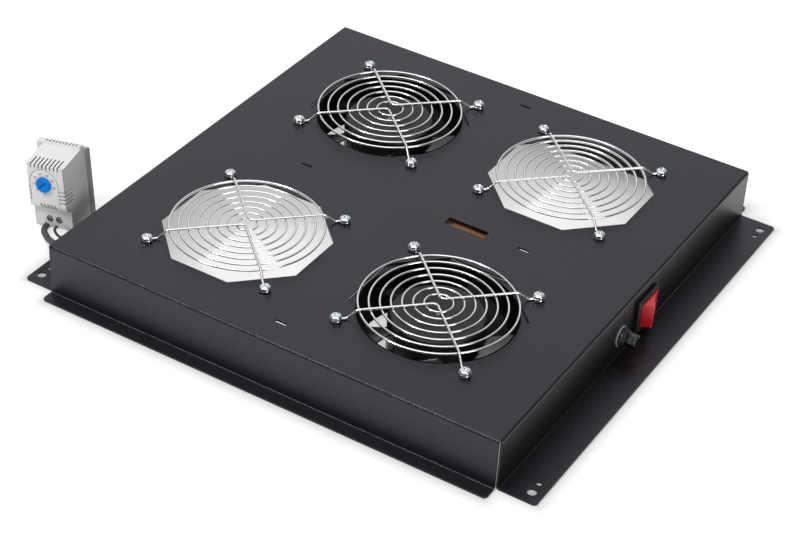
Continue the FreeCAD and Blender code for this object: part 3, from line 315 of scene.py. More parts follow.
def plated(name, tint, roughness):
    """Plated or turned metal with fine, faint marks."""
    s = Shader(name)
    marks = s.noise(240.0, 4.0, (1, 1, 6))
    base = s.mix(marks, tint, tuple(0.8 * c for c in tint))
    return s.finish(Base_Color=base, Metallic=1.0, Roughness=roughness + 0.15 * marks,
                    Normal=s.bump(marks, 0.06, 0.0002))


def moulded(name, colour, roughness=0.45, grain=0.08, level=0.5):
    """Moulded plastic with a very fine spark-eroded grain."""
    s = Shader(name)
    fine = s.noise(2200.0, 2.0)
    drift = s.noise(40.0, 2.0)
    light = tuple(min(1.0, 1.05 * c) for c in colour)
    base = s.mix(drift, tuple(0.94 * c for c in colour), light)
    return s.finish(Base_Color=base, Roughness=roughness + 0.06 * drift, Specular_IOR_Level=level,
                    Normal=s.bump(fine, grain, 0.0001))


def rubber(name, colour, roughness=0.6):
    """Sheath or rubber: soft gloss with a slight orange-peel."""
    s = Shader(name)
    peel = s.noise(420.0, 2.0)
    base = s.mix(peel, tuple(0.9 * c for c in colour), tuple(1.1 * c for c in colour))
    return s.finish(Base_Color=base, Roughness=roughness + 0.08 * peel,
                    Normal=s.bump(peel, 0.1, 0.0002))


def lens_red(name, colour):
    """Tinted translucent lens of the rocker."""
    s = Shader(name)
    depth = s.noise(90.0, 2.0)
    base = s.mix(depth, colour, tuple(0.55 * c for c in colour))
    return s.finish(Base_Color=base, Roughness=0.24 + 0.08 * depth, Specular_IOR_Level=0.6,
                    Coat_Weight=0.25, Coat_Roughness=0.12,
                    Subsurface_Weight=0.25, Subsurface_Radius=(0.004, 0.0008, 0.0006))


def studio_world():
    """Soft surround: strength = dim + added ((1 + cos) / 2)^fall, with cos from the brightest side."""
    s = Shader("studio", world=True)
    inputs = {0: s.node("ShaderNodeTexCoord", output=0), 1: BRIGHT_SIDE}
    toward = s.node("ShaderNodeVectorMath", {"operation": "DOT_PRODUCT"}, inputs, output=1)
    strength = DIM_LIGHT + BRIGHT_LIGHT * (0.5 + 0.5 * toward) ** BRIGHT_FALL
    inputs = {"Color": (*SKY_COLOUR, 1.0), "Strength": strength}
    return s.end("ShaderNodeOutputWorld", s.node("ShaderNodeBackground", {}, inputs))


def paper_floor(name):
    """Pale, evenly glowing paper with a painted shadow round and under the tray's outline, which is
    the union
    of two rectangles: the shade darkens both its colour and its glow. With d_out and d_in the
    distances from it outside and inside, the shade is 0.5^(0.4 + d_in / 30 mm) inside and 0.5^(1.2 +
    d_out / 5 mm) outside."""
    s = Shader(name)
    coords = s.node("ShaderNodeTexCoord", output=3)
    outside, inside = [], []
    for cut in FOOTPRINT_CUTS:
        over = []
        for axis in (0, 1):
            low, high = OUTLINE[0][axis] + cut[axis][0], OUTLINE[1][axis] - cut[axis][1]
            along = s.node("ShaderNodeSeparateXYZ", {}, {0: coords}, output=axis)
            over.append((along - (low + high) / 2).maths("ABSOLUTE") - (high - low) / 2)
        beyond = over[0].maths("MAXIMUM", 0.0) ** 2.0 + over[1].maths("MAXIMUM", 0.0) ** 2.0
        outside.append(beyond.maths("SQRT"))
        inside.append(0.0 - over[0].maths("MAXIMUM", over[1]).maths("MINIMUM", 0.0))
    d_out = outside[0].maths("MINIMUM", outside[1])
    d_in = inside[0].maths("MAXIMUM", inside[1])
    # Painted shadow: the shade dims the floor's colour and glow near and under the tray
    shade = 0.5 ** (0.4 + 0.8 * (d_out > 0.0) + d_out / 0.005 + d_in / 0.03)
    return s.finish(Base_Color=s.mix(shade, (0.5, 0.5, 0.5), (0.03, 0.03, 0.03)), Roughness=0.9,
                    Emission_Color=s.mix(shade, (1.0, 1.0, 1.0), (0.06, 0.06, 0.06)),
                    Emission_Strength=0.61, Specular_IOR_Level=0.2)


def clear_glass(name):
    """Clear glass of the fuse link."""
    s = Shader(name)
    return s.finish(Base_Color=(0.9, 0.93, 0.93), Roughness=0.05, Transmission_Weight=0.9, IOR=1.5)


def laminate(name, colour):
    """Brown laminated board with a faint weave."""
    s = Shader(name)
    weave = s.noise(300.0, 4.0, (1, 8, 1))
    base = s.mix(weave, colour, tuple(0.7 * c for c in colour))
    return s.finish(Base_Color=base, Roughness=0.5 + 0.2 * weave,
                    Normal=s.bump(weave, 0.05, 0.0002))


# Meshes worked out as whole arrays, in millimetres

def grid_faces(rows, columns, wrap_rows):
    """Quads that join the neighbours of a grid that is round along its columns: point (i, j) is
    number i * columns + j."""
    i = np.arange(rows if wrap_rows else rows - 1)[:, None]
    j = np.arange(columns)[None, :]
    below = (i + 1) % rows * columns
    beside = (j + 1) % columns
    quads = np.broadcast_arrays(i * columns + j, i * columns + beside, below + beside, below + j)
    return np.stack(quads, -1).reshape(-1, 4)


def closed_part(points, wrap_rows=False):
    """A rows by columns grid of points, round along its columns. Its rows are joined into a ring,
    or both ends are closed by fans of triangles to the middle of the end row."""
    rows, columns = points.shape[:2]
    verts = points.reshape(-1, 3)
    quads = grid_faces(rows, columns, wrap_rows)
    tris = np.zeros((0, 3), int)
    if not wrap_rows:
        verts = np.vstack([verts, points[0].mean(0), points[-1].mean(0)])
        j = np.arange(columns)
        nxt = (j + 1) % columns
        count = rows * columns
        end = count - columns
        first = np.stack([np.full(columns, count), nxt, j], -1)
        last = np.stack([np.full(columns, count + 1), j + end, nxt + end], -1)
        tris = np.vstack([first, last])
    return outward(verts, quads, tris)


def outward(verts, quads, tris):
    """Turns all faces when the volume is negative: six times it is the sum of a . (b x c) over the
    triangles."""
    halves = np.vstack([quads[:, [0, 1, 2]], quads[:, [0, 2, 3]], tris])
    a, b, c = verts[halves[:, 0]], verts[halves[:, 1]], verts[halves[:, 2]]
    if np.einsum("ij,ij->", a, np.cross(b, c)) < 0:
        quads, tris = quads[:, ::-1], tris[:, ::-1]
    return verts, quads, tris


def put_mesh(name, parts, material, smooth=35.0):
    """One mesh object from closed parts, at the origin, smooth below an angle."""
    count = 0
    verts, loops, sizes = [], [], []
    for points, quads, tris in parts:
        verts.append(points)
        loops += [(quads + count).ravel(), (tris + count).ravel()]
        sizes += [np.full(len(quads), 4), np.full(len(tris), 3)]
        count += len(points)
    verts = np.vstack(verts) * MM
    loops = np.concatenate(loops).astype(np.int32)
    sizes = np.concatenate(sizes).astype(np.int32)
    mesh = bpy.data.meshes.new(name)
    mesh.vertices.add(len(verts))
    mesh.vertices.foreach_set("co", verts.ravel().astype(np.float32))
    mesh.loops.add(len(loops))
    mesh.loops.foreach_set("vertex_index", loops)
    mesh.polygons.add(len(sizes))
    starts = np.concatenate([[0], np.cumsum(sizes)[:-1]])
    mesh.polygons.foreach_set("loop_start", starts.astype(np.int32))
    mesh.polygons.foreach_set("use_smooth", np.ones(len(sizes), bool))
    mesh.update(calc_edges=True)
    mesh.validate()
    mesh.set_sharp_from_angle(angle=math.radians(smooth))
    mesh.materials.append(material)
    made = bpy.data.objects.new(name, mesh)
    bpy.context.scene.collection.objects.link(made)
    return made


def dress(made, body, slot, *nodes):
    """The piece rides on its body and stands for frame nodes; its record slot is not used."""
    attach(made, body)
    if nodes:
        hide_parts(*nodes)
    return made


def rounded(points, steps, limit=math.inf):
    """Straight runs joined by tangent arcs: at a corner with half turn h the arc reaches r tan(h)
    back, with r from 0.45 of the shorter run and at most the limit."""
    points = [np.array(p, float) for p in points]
    line = [points[0][None]]
    for before, corner, after in zip(points, points[1:], points[2:]):
        back = before - corner
        ahead = after - corner
        shorter = min(np.linalg.norm(back), np.linalg.norm(ahead))
        back /= np.linalg.norm(back)
        ahead /= np.linalg.norm(ahead)
        half = (PI - math.acos(max(-1.0, min(1.0, back @ ahead)))) / 2
        if half < 0.002:
            continue
        radius = min(limit, 0.45 * shorter / math.tan(half))
        inward = (back + ahead) / np.linalg.norm(back + ahead)
        centre = corner + inward * radius / math.cos(half)
        side = np.cross(np.cross(back, ahead), inward)
        side /= np.linalg.norm(side)
        if side @ ahead < 0:
            side = -side
        angle = np.linspace(-half, half, steps)[:, None]
        line.append(centre - inward * radius * np.cos(angle) + side * radius * np.sin(angle))
    line.append(points[-1][None])
    return np.vstack(line)


def section_frames(path, closed=False):
    """Side and rise at each path point: the side is level, the rise square to it and the path."""
    if closed:
        along = np.roll(path, -1, 0) - np.roll(path, 1, 0)
    else:
        along = np.gradient(path, axis=0)
    along /= np.linalg.norm(along, axis=1)[:, None]
    side = np.cross(along, [0.0, 0.0, 1.0])
    side /= np.maximum(np.linalg.norm(side, axis=1), 1e-6)[:, None]
    rise = np.cross(side, along)
    return side, rise


def tube(path, radius, sides=16, closed=False):
    """Round section carried along a path: point = path + r (cos a side + sin a rise)."""
    side, rise = section_frames(path, closed)
    a = np.linspace(0, 2 * PI, sides, endpoint=False)[None, :, None]
    points = path[:, None] + radius * (np.cos(a) * side[:, None] + np.sin(a) * rise[:, None])
    return closed_part(points, wrap_rows=closed)


def circle_path(centre, radius, steps):
    """Closed level circle of points."""
    a = np.linspace(0, 2 * PI, steps, endpoint=False)
    return np.array(centre) + radius * np.stack([np.cos(a), np.sin(a), np.zeros(steps)], -1)


def turned(profile, base, sides=48):
    """Profile of (radius, height) points carried once round the upright axis through the base."""
    r, h = np.array(profile, float).T[:, :, None]
    a = np.linspace(0, 2 * PI, sides, endpoint=False)[None, :]
    points = np.stack([r * np.cos(a), r * np.sin(a), np.broadcast_to(h, (len(h), sides))], -1)
    return closed_part(points + np.array(base, float))


def smooth_copy(node, name, material, angle=35.0):
    """A frame node's mesh, merged and shaded smooth below an angle, in a piece of its own."""
    source = frame["nodes"][node]
    mesh = source.data.copy()
    work = bmesh.new()
    work.from_mesh(mesh)
    bmesh.ops.remove_doubles(work, verts=work.verts, dist=1e-6)
    bmesh.ops.recalc_face_normals(work, faces=work.faces)
    work.to_mesh(mesh)
    work.free()
    mesh.polygons.foreach_set("use_smooth", np.ones(len(mesh.polygons), bool))
    mesh.set_sharp_from_angle(angle=math.radians(angle))
    mesh.materials.clear()
    mesh.materials.append(material)
    made = bpy.data.objects.new(name, mesh)
    bpy.context.scene.collection.objects.link(made)
    even = made.modifiers.new("even_shading", "WEIGHTED_NORMAL")
    even.weight = 100
    even.keep_sharp = True
    return made


def body_of_node(node):
    """Body that a frame node rides on."""
    return next(b for b, nodes in frame["record"]["behaviour"]["bodies"].items() if node in nodes)


def slot_of_node(node):
    """Material slot of a frame node in the record."""
    return next(row["material_slot"] for row in frame["record"]["subparts"] if row["node"] == node)


def dressed_copies(nodes, material, angle=35.0):
    """Smoothly shaded copies of several nodes, each standing for its own."""
    for node in nodes:
        made = smooth_copy(node, node + "_look", material, angle)
        dress(made, body_of_node(node), slot_of_node(node), node)


def split_by_radius(made, axis, radius, outer):
    """Gives faces that lie farther than a radius from an upright axis a second material."""
    mesh = made.data
    centres = np.zeros(len(mesh.polygons) * 3)
    mesh.polygons.foreach_get("center", centres)
    far = np.hypot(*(centres.reshape(-1, 3)[:, :2] / MM - np.array(axis)).T) > radius
    mesh.materials.append(outer)
    mesh.polygons.foreach_set("material_index", far.astype(np.int32))


# Guards and screws

def screw_spots(bay):
    """The four screws of a bay, in plan."""
    half = SCREW_PITCH / 2
    x, y = BAYS[bay]
    return [(x + sx * half, y + sy * half) for sx in (-1, 1) for sy in (-1, 1)]


def guard_spoke(bay, side, ring_r, spoke_r):
    """One bent spoke from screw to screw with an eyelet round each, as on the real guard."""
    x, y = BAYS[bay]
    half = SCREW_PITCH / 2
    low = np.array([0, 0, PLATE_TOP + SPOKE_FOOT])
    high = np.array([0, 0, PLATE_TOP + GUARD_LIFT + ring_r + spoke_r - WELD])
    screws = [np.array([x + side * half, y - half, 0]), np.array([x + side * half, y + half, 0])]
    bend = np.array([x + side * SPOKE_BEND_X, y, 0])
    first, second = [(bend - s) / np.linalg.norm(bend - s) for s in screws]
    path = [screws[0] + first * LOOP_R + low, screws[0] + first * SPOKE_RISE_START + low,
            screws[0] + first * SPOKE_RISE_END + high, bend + high,
            screws[1] + second * SPOKE_RISE_END + high, screws[1] + second * SPOKE_RISE_START + low,
            screws[1] + second * LOOP_R + low]
    parts = [tube(rounded(path, 10, SPOKE_BEND_R), spoke_r, 16)]
    parts += [tube(circle_path(s + low, LOOP_R, 40), LOOP_WIRE_R, 14, True) for s in screws]
    return parts


def guard_parts(bay, ring_r, spoke_r):
    """Concentric rings under two bent spokes."""
    count, inner = RINGS[bay]
    centre = (*BAYS[bay], PLATE_TOP + GUARD_LIFT)
    radii = inner + (GUARD_R - inner) / (count - 1) * np.arange(count)
    parts = [tube(circle_path(centre, r, 128), ring_r, 14, True) for r in radii]
    return parts + guard_spoke(bay, -1, ring_r, spoke_r) + guard_spoke(bay, 1, ring_r, spoke_r)


def cross_screw(length, shank_r, head_r, head_h):
    """Pan head with a cross recess on a plain shank, seated at z = 0. The head is a disc of points
    (s, a): its height is a flattened dome h (0.3 + 0.7 (1 - s^2.3)^(1/2)) less the recess, which is
    deepest at the middle and ends smoothly where |u| = arm length and |v| = half width along either
    arm."""
    rows, columns = 40, 96
    s = np.linspace(0.0, 1.0, rows)[:, None]
    a = np.linspace(0, 2 * PI, columns, endpoint=False)[None, :]
    u, v = s * head_r * np.cos(a), s * head_r * np.sin(a)
    dome = head_h * (0.3 + 0.7 * np.sqrt(np.maximum(0.0, 1 - s ** 2.3)))
    arm, half = 0.5 * head_r, 0.11 * head_r
    arm_u = np.maximum(np.abs(v) / half, np.abs(u) / arm)
    arm_v = np.maximum(np.abs(u) / half, np.abs(v) / arm)
    inside = np.clip((1.12 - np.minimum(arm_u, arm_v)) / 0.24, 0, 1)
    depth = 0.65 * head_h * (1 - 0.55 * np.hypot(u, v) / arm)
    height = np.broadcast_to(dome, u.shape) - inside * np.maximum(depth, 0)
    head = np.stack([u, v, height], -1)
    round_line = np.stack([np.cos(a), np.sin(a), np.zeros(a.shape)], -1)
    foot = shank_r * round_line - np.array([0, 0, length])
    head[0] = head[0].mean(0) + 1e-4 * round_line[0]
    return closed_part(np.concatenate([head, head_r * round_line, shank_r * round_line, foot]))


def moved(part, spot, turn=np.eye(3)):
    """A part turned and carried to a spot."""
    verts, quads, tris = part
    return verts @ turn.T + np.array(spot, float), quads, tris


# Thermostat pieces, worked out in its own frame: x to the right, y into the case, z up

def thermo_turn():
    """Turn of the thermostat: about x first, then y, then z."""
    turn = Matrix.Identity(3)
    for angle, axis in zip(THERMO_TURN, "ZYX"):
        turn = turn @ Matrix.Rotation(math.radians(angle), 3, axis)
    return np.array(turn)


def on_thermostat(points):
    """Points of the thermostat's own frame in the part's frame."""
    return np.array(points, float) @ thermo_turn().T + np.array(THERMO_FOOT)


def depth_in_cover(centres):
    """How deep points lie below the cover's outside: the least of the distances to its sides,
    sloping top, rim and front, where the front is a plane, a quarter round and a recessed plane."""
    x, y, z = ((centres - np.array(THERMO_FOOT)) @ thermo_turn()).T
    face_low = SHOULDER + SHOULDER_R
    in_round = (z < face_low) & (y < SHOULDER_R)
    front = np.where(in_round, SHOULDER_R - np.hypot(y - SHOULDER_R, z - face_low), y)
    front = np.where(z < SHOULDER + 0.05, y - FACE_RECESS, front)
    slope = FACE_TOP + (SLOPE_TOP - FACE_TOP) * y / RIM_Y
    top = np.where(y < RIM_Y, slope, RIM_TOP) - z
    return np.min([THERMO_HALF - np.abs(x), front, top, z, RIM_BACK + 1 - y], axis=0)


def shade_by_depth(made, limits, materials):
    """Gives the faces further, darker materials where they lie deeper than the limits: painted shade
    in the cover's vents and cavity.
    """
    mesh = made.data
    centres = np.zeros(len(mesh.polygons) * 3)
    mesh.polygons.foreach_get("center", centres)
    depth = depth_in_cover(centres.reshape(-1, 3) / MM)
    for material in materials:
        mesh.materials.append(material)
    mesh.polygons.foreach_set("material_index", np.searchsorted(limits, depth).astype(np.int32))


def scale_mark(text, angle, material):
    """One raised number of the dial's scale, turned from a flat outline into a closed mesh."""
    curve = bpy.data.curves.new("scale_" + text, "FONT")
    curve.body = text
    curve.size = MARK_SIZE
    curve.align_x = "CENTER"
    curve.align_y = "CENTER"
    curve.extrude = MARK_RAISE
    flat = bpy.data.objects.new("scale_" + text, curve)
    mesh = bpy.data.meshes.new_from_object(flat)
    bpy.data.objects.remove(flat)
    work = bmesh.new()
    work.from_mesh(mesh)
    bmesh.ops.remove_doubles(work, verts=work.verts, dist=1e-5)
    bmesh.ops.recalc_face_normals(work, faces=work.faces)
    work.to_mesh(mesh)
    work.free()
    verts = np.zeros(len(mesh.vertices) * 3)
    mesh.vertices.foreach_get("co", verts)
    u, v, w = verts.reshape(-1, 3).T
    a = math.radians(angle)
    x = DIAL_SPOT[0] + SCALE_R * math.cos(a) + u
    z = DIAL_SPOT[1] + SCALE_R * math.sin(a) + v
    mesh.vertices.foreach_set("co", (on_thermostat(np.stack([x, -w, z], -1)) * MM).ravel())
    mesh.materials.clear()
    mesh.materials.append(material)
    made = bpy.data.objects.new("scale_mark_" + text, mesh)
    bpy.context.scene.collection.objects.link(made)
    return made


def knurled_cap(reach, r, face):
    """Cap turned about y: a stem, a knurled side whose radius is r - depth |sin(ribs a / 2)|, a
    chamfer and an end disc with a coin slot. Heights are measured out of the wall."""
    a = np.linspace(0, 2 * PI, CAP_RIBS * 8, endpoint=False)[None, :]
    end = face + reach
    collar = face + 0.35
    profile = np.vstack([
        [(CAP_STEM_R, face - CAP_INSET), (CAP_STEM_R, collar), (r - 0.5, collar), (r, face + 0.7)],
        np.stack([np.full(9, r), np.linspace(face + 0.9, end - 1.1, 9)], -1),
        [(r - 0.25, end - 0.55), (r - 0.7, end - 0.12), (r - 1.1, end)],
        np.stack([np.linspace(r - 1.15, 0.01, 26), np.full(26, end)], -1)])
    radius, height = profile[:, :1], profile[:, 1:]
    knurl = (radius > r - 0.05) * CAP_KNURL * np.abs(np.sin(CAP_RIBS * a / 2))
    u, v = (radius - knurl) * np.cos(a), (radius - knurl) * np.sin(a)
    on_end = (height > end - 0.01) & (radius < r - 1.2)
    in_slot = on_end * np.clip((CAP_SLOT_HALF - np.abs(v)) / 0.12, 0, 1)
    return closed_part(np.stack([u, -(height - CAP_SLOT_DEPTH * in_slot), v], -1))


# Settings that a user would change

class GuardSizes(bpy.types.PropertyGroup):
    ring_wire: FloatProperty(name="Ring wire", description="Thickness of the ring wire",
                             default=0.0017, unit="LENGTH")
    spoke_wire: FloatProperty(name="Spoke wire", description="Thickness of the spoke wire",
                              default=0.002, unit="LENGTH")
    head: FloatProperty(name="Screw head", description="Width of a screw head",
                        default=0.0086, unit="LENGTH")


class TrayColours(bpy.types.PropertyGroup):
    coat: FloatVectorProperty(name="Coat", description="Powder coat of the tray", subtype="COLOR",
                              default=(0.005, 0.0048, 0.0064), min=0.0, max=1.0)
    rocker: FloatVectorProperty(name="Rocker", description="Lens of the rocker", subtype="COLOR",
                                default=(0.62, 0.002, 0.012), min=0.0, max=1.0)
    dial: FloatVectorProperty(name="Dial", description="Thermostat dial", subtype="COLOR",
                              default=(0.0, 0.2, 0.7), min=0.0, max=1.0)
    cover: FloatVectorProperty(name="Cover", description="Thermostat cover", subtype="COLOR",
                               default=(0.72, 0.72, 0.72), min=0.0, max=1.0)


class RACKTRAY_OT_tray(bpy.types.Operator):
    """Gives the folded tray its powder coat"""
    bl_idname = "racktray.tray"
    bl_label = "Tray"

    def execute(self, context):
        coat = powder_coat("powder_coat", tuple(context.scene.tray_colours.coat), 0.28)
        dressed_copies(["tray_shell"], coat)
        return {"FINISHED"}


class RACKTRAY_OT_guards(bpy.types.Operator):
    """Builds the four wire finger guards and their screws and washers"""
    bl_idname = "racktray.guards"
    bl_label = "Finger guards"

    def execute(self, context):
        sizes = context.scene.guard_sizes
        wire = bright_wire("guard_wire")
        zinc = plated("zinc_screws", (0.84, 0.9, 0.9), 0.14)
        for bay in BAYS:
            parts = guard_parts(bay, sizes.ring_wire / MM / 2, sizes.spoke_wire / MM / 2)
            node = "finger_guard_" + bay
            dress(put_mesh(node + "_wires", parts, wire), "tray", "guard_wire", node)
        for node, bays in (("guard_screws_open_bays", VACANT), ("guard_screws_fan_bays", FITTED)):
            low, high = node_box(node)
            length = SCREW_LENGTHS[node]
            seat = low[2] + length
            screw = cross_screw(length, SCREW_SHANK_R, sizes.head / MM / 2, high[2] - seat)
            parts = [moved(screw, (x, y, seat)) for bay in bays for x, y in screw_spots(bay)]
            dress(put_mesh(node + "_heads", parts, zinc, 30), "tray", "zinc_steel", node)
        low, high = node_box("guard_washers")
        bore = SCREW_SHANK_R + WASHER_GAP
        profile = [(bore, 0), (bore, WASHER_T), (WASHER_R - WASHER_EDGE, WASHER_T),
                   (WASHER_R, WASHER_T - WASHER_EDGE), (WASHER_R, 0), (bore, 0)]
        parts = [turned(profile, (x, y, low[2])) for bay in FITTED for x, y in screw_spots(bay)]
        dress(put_mesh("guard_washer_rings", parts, zinc), "tray", "zinc_steel", "guard_washers")
        dressed_copies(["guard_nuts_open_bays", "guard_nuts_fan_bays"], zinc)
        return {"FINISHED"}


class RACKTRAY_OT_fans(bpy.types.Operator):
    """Dresses the two mains fans"""
    bl_idname = "racktray.fans"
    bl_label = "Fans"

    def execute(self, context):
        # Painted shade: inside the mouth the frame takes a darker, duller copy of its black; outside
        # it takes the tray's coat
        cast = moulded("cast_frame_black_painted_shade", (0.002, 0.002, 0.0025), 0.85, 0.1, 0.05)
        face = powder_coat("cast_frame_face", (0.005, 0.0048, 0.0064), 0.3)
        # Painted sheen: the blades take a brighter, glossier copy of the hub's black
        rotor = moulded("rotor_black", (0.008, 0.008, 0.009), 0.36)
        vane = moulded("vane_black_painted_sheen", (0.016, 0.0155, 0.018), 0.34, 0.05, 1.0)
        steel = plated("fan_steel", (0.5, 0.5, 0.5), 0.3)
        copper = plated("coil_copper", (0.6, 0.25, 0.12), 0.35)
        plug = moulded("plug_black", (0.02, 0.02, 0.02), 0.4)
        for bay in FITTED:
            for node, inner, radius, outer in (("fan_frame_" + bay, cast, MOUTH_R, face),
                                               ("fan_rotor_" + bay, rotor, HUB_R, vane)):
                made = smooth_copy(node, node + "_look", inner)
                dress(made, body_of_node(node), slot_of_node(node), node)
                split_by_radius(made, BAYS[bay], radius, outer)
            dressed_copies(["fan_core_" + bay, "fan_bearings_" + bay, "fan_shaft_" + bay], steel)
            dressed_copies(["fan_coils_" + bay], copper)
            dressed_copies(["fan_plug_" + bay], plug)
        return {"FINISHED"}


class RACKTRAY_OT_controls(bpy.types.Operator):
    """Dresses the switch, the fuse holder and the terminal board"""
    bl_idname = "racktray.controls"
    bl_label = "Controls"

    def execute(self, context):
        black = moulded("control_black", (0.014, 0.014, 0.015), 0.32)
        red = lens_red("rocker_lens", tuple(context.scene.tray_colours.rocker))
        tin = plated("tinned_brass", (0.72, 0.66, 0.5), 0.25)
        dressed_copies(["switch_body", "fuse_body", "fuse_nut", "fuse_carrier"], black)
        dressed_copies(["mains_bushing"], black)
        gloss = moulded("cap_black", (0.003, 0.003, 0.0035), 0.12, 0.02)
        low, high = node_box("fuse_cap")
        x, _, z = middle_of("fuse_cap")
        wall = node_box("fuse_washer")[1][1]
        reach = high[1] - low[1] - CAP_INSET
        cap = knurled_cap(reach, (high[0] - low[0]) / 2, wall - high[1] + CAP_INSET)
        made = put_mesh("fuse_cap_knurled", [moved(cap, (x, wall, z))], gloss, 30)
        dress(made, "fuse_knob", "black_plastic", "fuse_cap")
        dressed_copies(["switch_rocker"], red, 12.0)
        dressed_copies(["switch_terminals", "fuse_contacts", "block_screws"], tin)
        dressed_copies(["fuse_washer"], rubber("washer_grey", (0.36, 0.38, 0.42)))
        dressed_copies(["fuse_link"], clear_glass("fuse_glass"))
        dressed_copies(["terminal_board"], laminate("board_brown", (0.33, 0.14, 0.06)))
        dressed_copies(["board_pads"], rubber("foam_white", (0.7, 0.7, 0.68), 0.8))
        dressed_copies(["terminal_block"], moulded("nylon_white", (0.68, 0.67, 0.62), 0.4))
        return {"FINISHED"}


class RACKTRAY_OT_thermostat(bpy.types.Operator):
    """Dresses the thermostat"""
    bl_idname = "racktray.thermostat"
    bl_label = "Thermostat"

    def execute(self, context):
        colours = context.scene.tray_colours
        cover = moulded("thermostat_cover", tuple(colours.cover), 0.5)
        base = moulded("thermostat_base", (0.36, 0.36, 0.365), 0.5)
        dial = moulded("dial_blue", tuple(colours.dial), 0.55, 0.08, 0.1)
        steel = plated("terminal_steel", (0.3, 0.32, 0.33), 0.3)
        # Painted shade: the cover's vent walls take a darker grey, its cavity a near black
        groove = moulded("cover_groove_painted_shade", tuple(0.45 * c for c in colours.cover), 0.6)
        inside = moulded("cover_inside_painted_shade", (0.02, 0.02, 0.021), 0.7)
        ink = moulded("scale_ink", (0.03, 0.03, 0.035), 0.6)
        made = smooth_copy("thermo_cover", "thermo_cover_look", cover)
        dress(made, "tray", "thermo_light_grey", "thermo_cover")
        shade_by_depth(made, (0.2, 0.75), (groove, inside))
        dressed_copies(["thermo_base", "thermo_contacts"], base)
        dressed_copies(["thermo_dial"], dial)
        dressed_copies(["thermo_strip"], steel)
        turn = thermo_turn() @ np.array([[1, 0, 0], [0, 0, -1], [0, 1, 0]])
        screw = cross_screw(*TERMINAL_SCREW)
        spots = on_thermostat([(x, TERMINAL_SEAT, z) for x, z in TERMINALS])
        made = put_mesh("terminal_screw_heads", [moved(screw, p, turn) for p in spots], steel, 30)
        dress(made, "tray", "tin_brass", "thermo_screws")
        for text, angle in SCALE:
            dress(scale_mark(text, angle, ink), "tray", "thermo_dark_grey")
        return {"FINISHED"}


class RACKTRAY_OT_cords(bpy.types.Operator):
    """Dresses the leads, cores and the grommet"""
    bl_idname = "racktray.cords"
    bl_label = "Cords"

    def execute(self, context):
        grey = rubber("lead_grey", (0.055, 0.055, 0.06), 0.45)
        brown = rubber("core_brown", (0.035, 0.009, 0.004), 0.3)
        black = rubber("grommet_black", (0.012, 0.012, 0.012), 0.5)
        dressed_copies(["fan_lead_front_left", "fan_lead_rear_right"], grey)
        dressed_copies(["switch_wire_a", "switch_wire_b", "fuse_wire", "fuse_switch_wire"], brown)
        for node, starts, points, radius, material in (
                ("thermostat_lead", LEAD_STARTS, LEAD_POINTS, LEAD_R, grey),
                ("thermostat_wire", CORE_STARTS, CORE_POINTS, CORE_R, brown)):
            line = rounded(np.vstack([on_thermostat(starts), points]), 14)
            made = put_mesh(node + "_tube", [tube(line, radius, 28)], material)
            dress(made, "tray", slot_of_node(node), node)
        dressed_copies(["lead_grommet"], black)
        return {"FINISHED"}


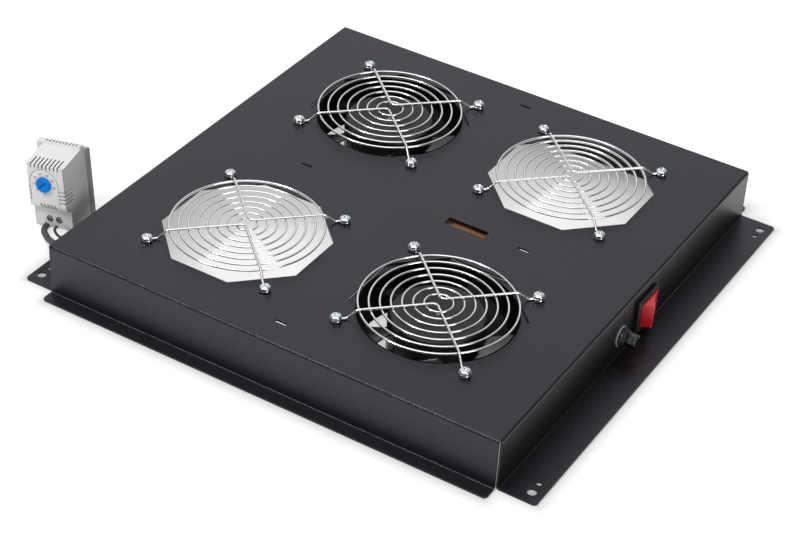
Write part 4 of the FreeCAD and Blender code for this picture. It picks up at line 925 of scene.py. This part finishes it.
class RACKTRAY_OT_stage(bpy.types.Operator):
    """Adds the pale floor, the soft studio lights and the camera"""
    bl_idname = "racktray.stage"
    bl_label = "Stage"

    def execute(self, context):
        # The floor's colour and glow carry a painted shadow round and under the tray
        paper = paper_floor("floor_white_painted_shadow")
        corners = FLOOR_HALF * np.array([[-1, -1, 0], [1, -1, 0], [1, 1, 0], [-1, 1, 0]])
        sheet = (corners, np.array([[0, 1, 2, 3]]), np.zeros((0, 3), int))
        floor = put_mesh("floor", [sheet], paper)
        context.scene.world = studio_world()
        for name, spot, size, power in LAMPS:
            lamp = bpy.data.lights.new(name, "AREA")
            lamp.shape = "SQUARE"
            lamp.size = size
            lamp.energy = power
            light = bpy.data.objects.new(name, lamp)
            light.location = spot
            light.rotation_euler = (-Vector(spot)).to_track_quat("-Z", "Y").to_euler()
            context.scene.collection.objects.link(light)
        self.camera(context)
        context.scene.view_settings.view_transform = "Standard"
        return {"FINISHED"}

    def camera(self, context):
        """Camera at its eye: back axis from azimuth and elevation, level right axis, then roll."""
        az, el, roll = (math.radians(v) for v in (CAMERA_AZIMUTH, CAMERA_ELEVATION, CAMERA_ROLL))
        back = Vector((math.sin(az) * math.cos(el), -math.cos(az) * math.cos(el), math.sin(el)))
        right = Vector((math.cos(az), math.sin(az), 0.0))
        up = back.cross(right)
        across = right * math.cos(roll) + up * math.sin(roll)
        upward = up * math.cos(roll) - right * math.sin(roll)
        data = bpy.data.cameras.new("camera")
        data.lens = CAMERA_LENS
        data.sensor_width = 36.0
        data.clip_start = 0.05
        data.clip_end = 50.0
        made = bpy.data.objects.new("camera", data)
        turn = Matrix((across, upward, back)).transposed().to_4x4()
        made.matrix_world = Matrix.Translation(Vector(CAMERA_EYE) * MM) @ turn
        context.scene.collection.objects.link(made)
        context.scene.camera = made
        return made


class RACKTRAY_PT_panel(bpy.types.Panel):
    """Lists the settings and the steps"""
    bl_idname = "RACKTRAY_PT_panel"
    bl_label = "Rack fan tray"
    bl_space_type = "VIEW_3D"
    bl_region_type = "UI"
    bl_category = "Rack tray"

    def draw(self, context):
        for group in (context.scene.guard_sizes, context.scene.tray_colours):
            for key in group.__annotations__:
                self.layout.prop(group, key)
        for step in STEPS:
            self.layout.operator(step.bl_idname)


STEPS = (RACKTRAY_OT_stage, RACKTRAY_OT_tray, RACKTRAY_OT_guards, RACKTRAY_OT_fans,
         RACKTRAY_OT_controls, RACKTRAY_OT_thermostat, RACKTRAY_OT_cords)
CLASSES = (GuardSizes, TrayColours, RACKTRAY_PT_panel) + STEPS


def register():
    for kind in CLASSES:
        bpy.utils.register_class(kind)
    bpy.types.Scene.guard_sizes = PointerProperty(type=GuardSizes)
    bpy.types.Scene.tray_colours = PointerProperty(type=TrayColours)


def unregister():
    del bpy.types.Scene.tray_colours
    del bpy.types.Scene.guard_sizes
    for kind in reversed(CLASSES):
        bpy.utils.unregister_class(kind)


def main():
    register()
    for step in STEPS:
        group, name = step.bl_idname.split(".")
        getattr(getattr(bpy.ops, group), name)()


if __name__ == "__main__":
    main()
